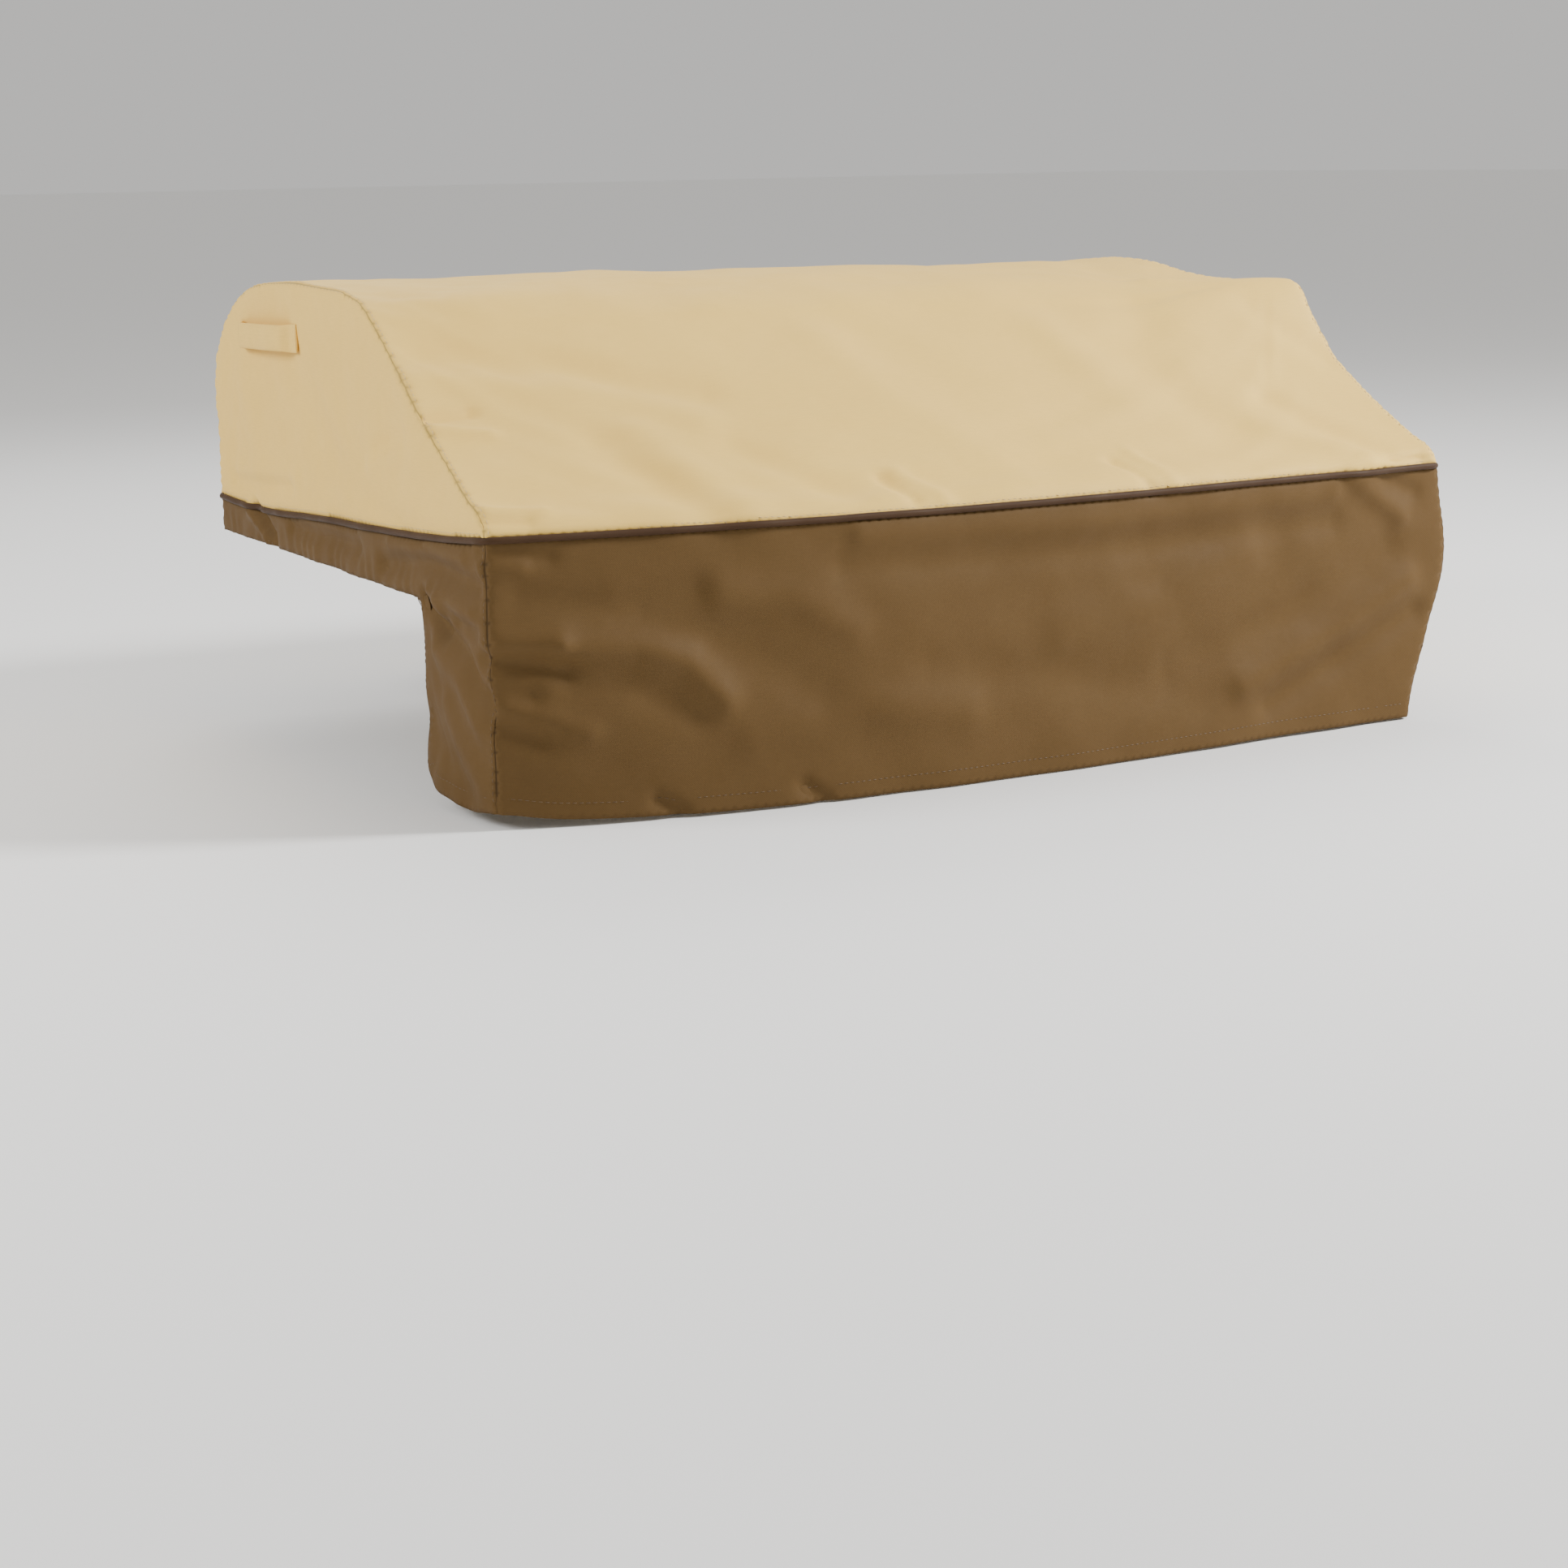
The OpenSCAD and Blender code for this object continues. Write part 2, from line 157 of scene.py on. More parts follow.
# The same places in the middle of the cover's width.
MIDDLE_LINE = np.array([
    (FRONT_Y - BOW, PIPING_Z), (-0.431, 0.087), (-0.384, 0.114), (-0.312, 0.156), (-0.243, 0.197),
    (-0.172, 0.240), (-0.127, 0.265), (-0.080, 0.285), (-0.040, 0.2925), (0.030, 0.296),
    (0.140, 0.2965), (0.240, 0.2945), (0.310, 0.2875), (0.370, 0.270), (0.416, 0.240),
    (0.445, 0.204), (0.456, 0.165), (0.457, 0.120), (BACK_Y, BACK_PIPING_Z)])
LINE_KNOTS = knots_of(SIDE_LINE)
PROFILE_LENGTH = LINE_KNOTS[-1]
# Piping's height along each side.
SIDE_PIPING = np.array([
    (FRONT_Y, PIPING_Z), (-0.288, 0.0665), (-0.195, 0.0610), (-0.070, 0.0555), (0.036, 0.0515),
    (0.150, 0.0455), (0.256, BACK_PIPING_Z), (0.360, 0.0385), (BACK_Y, BACK_PIPING_Z)])


def half_width(y):
    return FRONT_HALF + (BACK_HALF - FRONT_HALF) * (y - FRONT_Y) / (BACK_Y - FRONT_Y)


def middle_share(u):
    return 1 - np.abs(u) ** 2.4


def piping_height(y):
    return spline(SIDE_PIPING[:, 1:], SIDE_PIPING[:, 0], y)[:, 0]


def place_centre(q):
    """q holds (x as a share of half the width, distance along the profile)."""
    side = spline(SIDE_LINE, LINE_KNOTS, q[:, 1])
    middle = spline(MIDDLE_LINE, LINE_KNOTS, q[:, 1])
    line = side + (middle - side) * middle_share(q[:, 0])[:, None]
    return np.column_stack([q[:, 0] * half_width(line[:, 0]), line])


def place_side(sign):
    return lambda q: np.column_stack([sign * half_width(q[:, 0]), q])


def place_front(q):
    y = FRONT_Y - BOW * middle_share(q[:, 0])
    return np.column_stack([q[:, 0] * half_width(y), y, q[:, 1]])


def place_back(q):
    return np.column_stack([q[:, 0] * BACK_HALF, np.full(len(q), BACK_Y), q[:, 1]])


# ---------------------------------------------------------------- sewing the panels together
class Cover:
    """The sewn cover: welded points, triangles, and each triangle's panel and flat place."""

    def __init__(self):
        self.points, self.index, self.flat = [], {}, []
        self.triangles, self.panel, self.runs, self.cut = [], [], {}, {}

    def point(self, p):
        """The same number for places that agree to a tenth of a millimetre."""
        spots = [tuple(np.round(np.asarray(p) * CELLS + shift)) for shift in NUDGES]
        found = next((self.index[k] for k in spots if k in self.index), None)
        if found is None:
            found = len(self.points)
            self.points.append(p)
        for k in spots:
            self.index.setdefault(k, found)
        return found

    def add(self, name, outline, scale, place):
        """outline is a closed run of flat points; scale makes them metres; place puts them in space."""
        outline = np.array(outline)
        metres = outline * scale
        flat = np.vstack([metres, lattice(metres)])
        corners, _, faces, _, _, _ = delaunay_2d_cdt(
            [Vector(p) for p in flat], [], [list(range(len(outline)))], 1, 1e-7)
        flat = np.array([tuple(c) for c in corners])
        self.cut[name] = flat
        space = place(flat / scale)
        ids = [self.point(p) for p in space]
        for face in (f for f in without_slivers(flat, faces) if len({ids[k] for k in f}) == 3):
            self.triangles.append([ids[k] for k in face])
            self.flat.append([flat[k] for k in face])
            self.panel.append(list(PANELS).index(name))

    def run(self, name, points):
        """Remembers a seam or hem as the row of points it passes through."""
        self.runs[name] = [self.point(p) for p in points]


def lattice(outline):
    """Points of an even triangular net inside a closed outline, clear of its edge."""
    low, high = outline.min(0), outline.max(0)
    rows = np.arange(low[1], high[1], STEP * math.sqrt(0.75))
    net = np.array([(x, y) for k, y in enumerate(rows)
                    for x in np.arange(low[0] + STEP * 0.5 * (k % 2), high[0], STEP)])
    a, b = outline, np.roll(outline, -1, axis=0)
    inside = np.zeros(len(net), bool)
    clear = np.ones(len(net), bool)
    for p, q in zip(a, b):
        crosses = (p[1] > net[:, 1]) != (q[1] > net[:, 1])
        rise = q[1] - p[1] if q[1] != p[1] else 1.0
        inside ^= crosses & (net[:, 0] < (q[0] - p[0]) * (net[:, 1] - p[1]) / rise + p[0])
        along = np.clip(((net - p) @ (q - p)) / max(float((q - p) @ (q - p)), 1e-12), 0, 1)
        clear &= np.linalg.norm(net - (p + along[:, None] * (q - p)), axis=1) > 0.62 * STEP
    return net[inside & clear]


def without_slivers(flat, faces):
    """Swaps the long edge of a triangle that has next to no area for one into its neighbour."""
    faces = [tuple(f) for f in faces]
    for sliver in list(faces):
        edges = [(sliver[k], sliver[(k + 1) % 3], sliver[(k + 2) % 3]) for k in range(3)]
        a, b, c = max(edges, key=lambda e: np.linalg.norm(flat[e[0]] - flat[e[1]]))
        if abs(np.cross(flat[b] - flat[a], flat[c] - flat[a])) > SLIVER:
            continue
        other = next((f for f in faces if f != sliver and a in f and b in f), None)
        faces.remove(sliver)
        if other is not None:
            (d,) = set(other) - {a, b}
            faces.remove(other)
            faces += [(a, c, d), (c, b, d)]
    return faces


def steps(a, b, count):
    """Even steps from a to b without the last one."""
    return [tuple(np.array(a) + (np.array(b) - np.array(a)) * i / (count - 1)) for i in range(count - 1)]


def sides_of(low, high, across, up):
    """The bottom, right, top and left sides of a panel that is as wide as the cover."""
    corners = [(-1, low), (1, low), (1, high), (-1, high)]
    return [steps(a, b, n) for a, b, n in zip(corners, corners[1:] + corners[:1], (across, up, across, up))]


def sew():
    cover = Cover()
    across, down = evenly(2 * FRONT_HALF), evenly(PIPING_Z - HEM_Z)
    along, back_down = evenly(PROFILE_LENGTH), evenly(BACK_PIPING_Z)
    piping_y = np.linspace(FRONT_Y, BACK_Y, evenly(BACK_Y - FRONT_Y))
    piping = [tuple(p) for p in np.column_stack([piping_y, piping_height(piping_y)])]
    seam = np.linspace(0, PROFILE_LENGTH, along)
    seam_line = [tuple(p) for p in spline(SIDE_LINE, LINE_KNOTS, seam)]
    turn = [(NOTCH_Y - RETURN_R + RETURN_R * math.cos(a), HEM_Z + RETURN_R - RETURN_R * math.sin(a))
            for a in np.linspace(0, math.pi / 2, 7)]
    counter_hem = (steps((BACK_Y, 0), (NOTCH_Y, 0), evenly(BACK_Y - NOTCH_Y))
                   + steps((NOTCH_Y, 0), turn[0], evenly(-turn[0][1])))
    return_hem = turn[:-1] + steps(turn[-1], (FRONT_Y, HEM_Z), evenly(turn[-1][0] - FRONT_Y))
    front_edge = steps((FRONT_Y, HEM_Z), (FRONT_Y, PIPING_Z), down)
    back_edge = steps((BACK_Y, BACK_PIPING_Z), (BACK_Y, 0), back_down)
    front_wide, back_wide = np.array([FRONT_HALF, 1]), np.array([BACK_HALF, 1])
    bottom, right, top, left = sides_of(0, PROFILE_LENGTH, across, along)
    cover.add("centre_panel", bottom + right + top + left, front_wide, place_centre)
    bottom, right, top, left = sides_of(HEM_Z, PIPING_Z, across, down)
    cover.add("front_skirt", left + bottom + right + top, front_wide, place_front)
    bottom, right, top, left = sides_of(0, BACK_PIPING_Z, across, back_down)
    cover.add("back_skirt", bottom + right + top + left, back_wide, place_back)
    side_rows = {
        "seam": seam_line, "piping": piping,
        "corner": steps((FRONT_Y, PIPING_Z), (FRONT_Y, HEM_Z), down) + [(FRONT_Y, HEM_Z)],
        "counter_hem": counter_hem + turn[:1], "return_hem": return_hem + [(FRONT_Y, HEM_Z)],
        "back_corner": back_edge + [(BACK_Y, 0)],
    }
    for side, sign in SIDES:
        place = place_side(sign)
        cover.add(f"{side}_side_panel", piping[:-1] + seam_line[:0:-1], 1, place)
        cover.add(f"{side}_side_skirt", piping[:-1] + back_edge + counter_hem + return_hem + front_edge,
                  1, place)
        for name, row in side_rows.items():
            cover.run(f"{side}_{name}", place(np.array(row)))
    u = np.linspace(-1, 1, across)
    for name, place, height in (("front_piping", place_front, PIPING_Z), ("front_hem", place_front, HEM_Z),
                                ("back_piping", place_back, BACK_PIPING_Z), ("back_hem", place_back, 0)):
        cover.run(name, place(np.column_stack([u, np.full(across, height)])))
    return cover


# ---------------------------------------------------------------- how the real cover hangs
# Broad pulls on the cloth: middle, reach, and how far the cloth moves there.
PULLS = [
    ((0.56, -0.41, -0.21), (0.10, 0.10, 0.085), (-0.022, 0.002, -0.002)),   # right hem corner drawn in
    ((0.57, -0.40, -0.02), (0.07, 0.09, 0.075), (0.026, 0.0, 0.0)),         # right corner stands out above
    ((-0.56, -0.40, -0.20), (0.08, 0.08, 0.07), (0.003, 0.012, 0.005)),     # left hem corner hangs back
    ((-0.565, -0.405, -0.20), (0.03, 0.03, 0.06), (0.009, 0.008, 0.006)),   # and rounds off
    ((-0.563, -0.255, -0.20), (0.04, 0.045, 0.035), (0.0, -0.004, 0.010)),  # its rear corner rounds off
    ((0.563, -0.255, -0.20), (0.04, 0.045, 0.035), (0.0, -0.004, 0.010)),
    ((0.56, -0.148, 0.245), (0.15, 0.034, 0.040), (0.0, -0.004, 0.024)),    # right shoulder stands up
    ((0.56, 0.000, 0.290), (0.17, 0.080, 0.080), (0.0, 0.0, -0.020)),       # and the top sags behind it
    ((0.45, 0.150, 0.290), (0.26, 0.26, 0.26), (0.0, 0.0, -0.008)),         # top lower to the right
    ((0.40, -0.420, 0.000), (0.22, 0.22, 0.22), (0.0, 0.018, 0.0)),         # front flatter on the right
    ((0.35, -0.420, -0.200), (0.20, 0.20, 0.20), (0.0, 0.010, 0.0)),
    ((-0.35, -0.430, -0.100), (0.22, 0.22, 0.22), (0.0, -0.008, 0.0)),      # front fuller on the left
    ((0.00, -0.440, -0.200), (0.30, 0.30, 0.20), (0.0, -0.004, -0.004)),
]
FOLD_RISE, FOLD_WIDTH = 1.15, 0.92                  # the folds below are made this much higher and wider
CRUMPLES = ((0.0007, 0.050), (0.0010, 0.120))       # height and spacing of the small waves all over
GATHER_RISE, GATHER_RATE = 0.0007, 230              # the casing's gathers, in radians per metre
# Folds: the line each follows, its half width, and its height, below zero for a valley.
FOLDS = [
    # front skirt by its left corner
    ([(-0.560, -0.40, 0.066), (-0.505, -0.43, 0.058)], 0.010, -0.0030),
    ([(-0.560, -0.40, 0.050), (-0.530, -0.42, 0.050)], 0.009, 0.0030),
    ([(-0.565, -0.40, -0.018), (-0.500, -0.43, -0.022)], 0.015, 0.0065),
    ([(-0.558, -0.40, -0.036), (-0.488, -0.43, -0.050)], 0.012, -0.0075),
    ([(-0.492, -0.43, -0.030), (-0.420, -0.43, -0.032), (-0.368, -0.43, -0.050), (-0.332, -0.43, -0.090)],
     0.019, 0.0065),
    ([(-0.480, -0.43, -0.064), (-0.425, -0.43, -0.070), (-0.360, -0.43, -0.104)], 0.020, -0.0035),
    ([(-0.410, -0.43, -0.010), (-0.300, -0.44, -0.045), (-0.230, -0.44, -0.100)], 0.026, -0.0030),
    ([(-0.530, -0.42, 0.020), (-0.440, -0.43, 0.004), (-0.360, -0.43, 0.018)], 0.018, -0.0035),
    ([(-0.300, -0.44, -0.130), (-0.180, -0.44, -0.110), (-0.060, -0.44, -0.130)], 0.024, 0.0035),
    ([(-0.100, -0.44, -0.080), (0.060, -0.43, -0.105), (0.240, -0.42, -0.150)], 0.028, -0.0035),
    ([(-0.562, -0.40, -0.070), (-0.525, -0.42, -0.075)], 0.014, -0.0050),
    ([(-0.555, -0.40, -0.098), (-0.515, -0.43, -0.120)], 0.015, -0.0050),
    ([(-0.545, -0.40, -0.080), (-0.470, -0.43, -0.112)], 0.014, 0.0035),
    ([(-0.330, -0.44, 0.010), (-0.250, -0.44, 0.000), (-0.190, -0.44, -0.035)], 0.022, 0.0035),
    ([(-0.400, -0.43, -0.186), (-0.378, -0.43, -0.200)], 0.010, -0.0040),
    ([(-0.247, -0.44, -0.186), (-0.226, -0.44, -0.202)], 0.010, -0.0040),
    # front skirt to the right
    ([(0.300, -0.42, -0.140), (0.440, -0.42, -0.090), (0.530, -0.41, -0.048)], 0.020, 0.0060),
    ([(0.340, -0.42, -0.168), (0.470, -0.42, -0.118), (0.545, -0.41, -0.085)], 0.018, -0.0055),
    ([(0.200, -0.42, -0.115), (0.360, -0.42, -0.070), (0.500, -0.41, -0.010)], 0.024, -0.0045),
    ([(0.497, -0.41, 0.066), (0.540, -0.41, 0.048)], 0.012, -0.0030),
    ([(0.450, -0.41, 0.070), (0.520, -0.41, 0.024)], 0.014, 0.0040),
    ([(0.060, -0.43, -0.060), (0.190, -0.42, -0.040), (0.300, -0.42, 0.004)], 0.030, 0.0040),
    ([(-0.180, -0.44, 0.060), (0.120, -0.43, 0.052), (0.420, -0.41, 0.058)], 0.016, 0.0035),
    ([(-0.200, -0.44, 0.026), (0.120, -0.43, 0.020), (0.420, -0.41, 0.024)], 0.018, -0.0035),
    # left side skirt
    ([(-0.563, -0.244, 0.000), (-0.563, -0.290, -0.024)], 0.011, -0.0090),
    ([(-0.563, -0.262, 0.012), (-0.563, -0.318, -0.012)], 0.010, 0.0050),
    ([(-0.563, -0.306, -0.022), (-0.563, -0.352, -0.040), (-0.563, -0.396, -0.084)], 0.012, -0.0060),
    ([(-0.563, -0.270, -0.045), (-0.563, -0.330, -0.066), (-0.563, -0.372, -0.105)], 0.016, 0.0045),
    ([(-0.563, -0.120, 0.022), (-0.563, -0.267, 0.040), (-0.563, -0.388, 0.030)], 0.012, -0.0055),
    ([(-0.563, -0.150, 0.046), (-0.563, -0.360, 0.055)], 0.010, 0.0035),
    ([(-0.563, -0.290, 0.010), (-0.563, -0.380, 0.004)], 0.013, 0.0050),
    ([(-0.563, -0.310, -0.008), (-0.563, -0.402, -0.016)], 0.011, -0.0045),
    ([(-0.550, 0.312, 0.038), (-0.550, 0.250, 0.008)], 0.010, -0.0075),
    ([(-0.550, 0.335, 0.034), (-0.550, 0.276, 0.006)], 0.009, 0.0045),
    ([(-0.555, 0.180, 0.030), (-0.560, -0.050, 0.032)], 0.010, -0.0045),
    ([(-0.563, -0.240, -0.120), (-0.563, -0.330, -0.180)], 0.020, -0.0045),
    ([(-0.563, -0.290, -0.100), (-0.563, -0.370, -0.165)], 0.020, 0.0040),
    # right side skirt, much as the left one
    ([(0.563, -0.244, 0.000), (0.563, -0.300, -0.028)], 0.012, -0.0080),
    ([(0.563, -0.270, 0.020), (0.563, -0.345, 0.012)], 0.013, 0.0050),
    ([(0.563, -0.280, -0.050), (0.563, -0.335, -0.100)], 0.016, -0.0050),
    ([(0.563, -0.140, 0.030), (0.563, -0.330, 0.040)], 0.012, -0.0045),
    ([(0.556, 0.120, 0.030), (0.556, -0.060, 0.030)], 0.011, -0.0045),
    ([(0.550, 0.330, 0.036), (0.550, 0.280, 0.006)], 0.010, -0.0065),
    # slope and its seams
    ([(-0.556, -0.254, 0.184), (-0.508, -0.248, 0.189)], 0.009, -0.0050),
    ([(-0.556, -0.268, 0.174), (-0.500, -0.280, 0.169)], 0.009, 0.0045),
    ([(-0.560, -0.401, 0.093), (-0.520, -0.408, 0.092)], 0.009, -0.0050),
    ([(-0.555, -0.392, 0.104), (-0.500, -0.402, 0.100)], 0.010, 0.0040),
    ([(-0.113, -0.427, 0.084), (-0.128, -0.390, 0.110)], 0.009, -0.0040),
    ([(-0.080, -0.428, 0.084), (-0.108, -0.385, 0.112)], 0.011, 0.0030),
    ([(0.172, -0.424, 0.084), (0.150, -0.385, 0.112)], 0.009, -0.0040),
    ([(0.205, -0.424, 0.084), (0.180, -0.375, 0.117)], 0.011, 0.0030),
    ([(0.512, -0.395, 0.100), (0.552, -0.402, 0.090)], 0.010, -0.0060),
    ([(0.470, -0.398, 0.094), (0.380, -0.330, 0.144)], 0.024, 0.0050),
    ([(0.500, -0.380, 0.104), (0.420, -0.290, 0.164)], 0.022, -0.0050),
    ([(-0.300, -0.420, 0.092), (-0.350, -0.300, 0.164)], 0.032, 0.0050),
    ([(-0.340, -0.418, 0.092), (-0.400, -0.310, 0.154)], 0.026, -0.0045),
    ([(-0.180, -0.415, 0.098), (-0.260, -0.330, 0.148)], 0.024, -0.0040),
    ([(-0.540, -0.200, 0.214), (-0.400, -0.230, 0.203), (-0.280, -0.290, 0.169)], 0.026, 0.0045),
    ([(-0.520, -0.160, 0.240), (-0.400, -0.190, 0.228), (-0.260, -0.250, 0.193)], 0.026, -0.0045),
    ([(0.020, -0.400, 0.106), (-0.060, -0.270, 0.183), (-0.080, -0.180, 0.236)], 0.036, 0.0035),
    ([(0.320, -0.340, 0.140), (0.300, -0.220, 0.212), (0.340, -0.140, 0.254)], 0.040, -0.0045),
    ([(0.230, -0.300, 0.164), (0.200, -0.180, 0.236)], 0.036, 0.0040),
    ([(0.400, -0.080, 0.280), (0.560, -0.140, 0.256)], 0.026, 0.0050),
    ([(0.380, -0.030, 0.288), (0.490, -0.056, 0.276)], 0.026, -0.0050),
    ([(0.480, -0.170, 0.236), (0.540, -0.230, 0.195)], 0.020, -0.0030),
    ([(0.440, 0.060, 0.290), (0.500, 0.250, 0.290)], 0.040, -0.0040),
    ([(-0.200, -0.060, 0.290), (0.100, -0.050, 0.290)], 0.045, -0.0030),
    ([(-0.440, -0.090, 0.282), (-0.300, 0.000, 0.295)], 0.040, 0.0030),
    # side panels
    ([(-0.558, -0.119, 0.137), (-0.558, -0.195, 0.159)], 0.012, -0.0035),
    ([(-0.558, -0.100, 0.120), (-0.558, -0.190, 0.142)], 0.012, 0.0025),
    ([(-0.552, 0.398, 0.062), (-0.556, 0.173, 0.074)], 0.011, -0.0040),
    ([(-0.552, 0.370, 0.074), (-0.556, 0.150, 0.088)], 0.012, 0.0025),
    ([(-0.554, 0.150, 0.200), (-0.556, 0.040, 0.120)], 0.040, -0.0040),
    ([(-0.553, 0.330, 0.190), (-0.554, 0.280, 0.090)], 0.038, 0.0040),
    ([(0.558, 0.040, 0.180), (0.558, -0.120, 0.100)], 0.040, 0.0040),
    ([(0.553, 0.330, 0.150), (0.556, 0.140, 0.080)], 0.030, -0.0045),
]


def pulled(points):
    moved = points.copy()
    for middle, reach, way in PULLS:
        near = np.exp(-(((points - np.array(middle)) / np.array(reach)) ** 2).sum(1) / 2)
        moved += near[:, None] * np.array(way)
    return moved


def distance_to(points, line):
    """How far each point is from a run of straight pieces."""
    best = np.full(len(points), np.inf)
    for a, b in zip(np.array(line[:-1]), np.array(line[1:])):
        along = np.clip(((points - a) @ (b - a)) / ((b - a) @ (b - a)), 0, 1)
        best = np.minimum(best, np.linalg.norm(points - (a + along[:, None] * (b - a)), axis=1))
    return best


def ripple(points, scale, seed):
    """Smooth uneven waves, about one unit high, with bumps about scale across."""
    dice = np.random.default_rng(seed)
    total = np.zeros(len(points))
    for _ in range(14):
        way = dice.normal(size=3)
        way *= 2 * math.pi / (scale * dice.uniform(1.4, 3.0) * np.linalg.norm(way))
        total += np.sin(points @ way + dice.uniform(0, 2 * math.pi))
    return total / math.sqrt(7)


def gathers(along, points, seed):
    """Waves along a hem, made uneven."""
    return np.sin(along * GATHER_RATE + 2.2 * ripple(points, 0.060, seed))


def folded(settled, normals, points):
    """Raises the folds, gathers the counter's hem and crumples the cloth a little.
    points are the same places before the cloth settled, which is where the folds are drawn."""
    height = sum(high * ripple(points, wide, SEED + k) for k, (high, wide) in enumerate(CRUMPLES))
    for line, width, rise in FOLDS:
        drawn = np.array(line)
        near = [int(((points - p) ** 2).sum(1).argmin()) for p in drawn]
        laid = [p + normals[k] * ((points[k] - p) @ normals[k]) for p, k in zip(drawn, near)]
        height += FOLD_RISE * rise * np.exp(-((distance_to(points, laid) / (FOLD_WIDTH * width)) ** 2))
    on_counter = (points[:, 1] > NOTCH_Y + 0.010) & (points[:, 2] < CASING_H + 0.012)
    gather = gathers(points[:, 1], points, SEED + 2) * (np.abs(points[:, 0]) > 0.53)
    gather += gathers(points[:, 0], points, SEED + 3) * (points[:, 1] > BACK_Y - 0.02)
    foot = np.exp(-((points[:, 2] - 0.5 * CASING_H) / (0.8 * CASING_H)) ** 2)
    height += GATHER_RISE * gather * foot * on_counter
    return settled + normals * height[:, None]


# ---------------------------------------------------------------- meshes
def new_mesh(name, points, faces, uv=None):
    mesh = bpy.data.meshes.new(name)
    mesh.from_pydata([tuple(p) for p in points], [], [tuple(f) for f in faces])
    if uv is not None:
        mesh.uv_layers.new(name="flat").data.foreach_set("uv", np.asarray(uv, float).ravel())
    mesh.update()
    return mesh


def new_object(name, mesh):
    thing = bpy.data.objects.new(name, mesh)
    bpy.context.scene.collection.objects.link(thing)
    return thing


def coordinates(items, field="co"):
    found = np.empty(len(items) * 3)
    items.foreach_get(field, found)
    return found.reshape(-1, 3)


def set_coordinates(mesh, points):
    mesh.vertices.foreach_set("co", np.asarray(points, float).ravel())
    mesh.update()


def evaluated(thing):
    graph = bpy.context.evaluated_depsgraph_get()
    return bpy.data.meshes.new_from_object(thing.evaluated_get(graph), depsgraph=graph)


def smooth(mesh):
    mesh.polygons.foreach_set("use_smooth", np.ones(len(mesh.polygons), bool))


def faced_out(mesh):
    """Turns a closed mesh's faces outwards and shades them smooth."""
    work = bmesh.new()
    work.from_mesh(mesh)
    bmesh.ops.recalc_face_normals(work, faces=work.faces)
    work.to_mesh(mesh)
    work.free()
    smooth(mesh)


def sewn_object(cover, points):
    """The whole cover as one mesh: a material number for each panel, and flat places as UVs."""
    mesh = new_mesh("sewn_cover", points, cover.triangles, np.array(cover.flat))
    mesh.polygons.foreach_set("material_index", cover.panel)
    for name in PANELS:
        mesh.materials.append(bpy.data.materials.new(f"panel_{name}"))
    work = bmesh.new()
    work.from_mesh(mesh)
    bmesh.ops.recalc_face_normals(work, faces=work.faces)
    if max(work.faces, key=lambda f: f.calc_center_median().z).normal.z < 0:
        bmesh.ops.reverse_faces(work, faces=work.faces)
    crease = work.edges.layers.float.new("crease_edge")
    for edge in work.edges:
        if len({f.material_index for f in edge.link_faces}) > 1:
            edge[crease] = 0.5
    work.to_mesh(mesh)
    work.free()
    return new_object("sewn_cover", mesh)


# How firmly the first of these that a run's name holds keeps it: 1 doesn't move at all.
HOLDS = (("piping", 0.80), ("seam", 0.65), ("counter_hem", 1.0), ("back_hem", 1.0), ("front_hem", 0.25),
         ("return_hem", 0.25), ("corner", 0.45))
HOLD_CLOTH, HOLD_TOP = 0.20, 0.26


def hold_weights(cover, points):
    """How firmly each point is held: what rests, what is sewn and what lies over the grill."""
    hold = np.full(len(points), HOLD_CLOTH)
    hold[points[:, 2] > TOP_Z - 0.030] = HOLD_TOP
    for name, ids in cover.runs.items():
        firm = next(weight for word, weight in HOLDS if word in name)
        hold[ids] = np.maximum(hold[ids], firm)
    handle = np.abs(points[:, 0]) > 0.5
    for end in (HANDLE_LOW[1], HANDLE_HIGH[1]):
        near = np.linalg.norm(points[:, 1:] - np.array([end, HANDLE_MID[2]]), axis=1) < 0.030
        hold[near & handle] = 1.0
    hold[np.linalg.norm(points - np.array(SHOULDER), axis=1) < SHOULDER_R] = 1.0
    return hold


def drape(thing, cut, hold, frames=26):
    """Lets the cloth settle: its rest lengths are the cut panels', a little longer than the fit."""
    scene = bpy.context.scene
    thing.shape_key_add(name="fit")
    key = thing.shape_key_add(name="cut")
    key.data.foreach_set("co", (cut * SLACK).ravel())
    key.value = 0
    group = thing.vertex_groups.new(name="held")
    for i, weight in enumerate(hold):
        group.add([i], float(weight), "REPLACE")
    cloth = thing.modifiers.new("drape", "CLOTH")
    cloth.settings.quality = 6
    cloth.settings.mass = 0.15
    cloth.settings.tension_stiffness = 30
    cloth.settings.compression_stiffness = 30
    cloth.settings.shear_stiffness = 12
    cloth.settings.bending_stiffness = 1.2
    cloth.settings.air_damping = 3
    cloth.settings.vertex_group_mass = "held"
    cloth.settings.pin_stiffness = 1.0
    cloth.settings.rest_shape_key = key
    cloth.settings.effector_weights.gravity = 0.5
    cloth.collision_settings.use_collision = False
    cloth.point_cache.frame_start, cloth.point_cache.frame_end = 1, frames
    for frame_number in range(1, frames + 1):
        scene.frame_set(frame_number)
    settled = coordinates(evaluated(thing).vertices)
    thing.modifiers.remove(cloth)
    thing.shape_key_clear()
    scene.frame_set(1)
    return settled


# ---------------------------------------------------------------- sweeps along seams
def unit(v):
    return v / np.maximum(np.linalg.norm(v, axis=-1, keepdims=True), 1e-12)


def directions(path, closed=False):
    if closed:
        return unit(np.roll(path, -1, axis=0) - np.roll(path, 1, axis=0))
    return unit(np.gradient(path, axis=0))


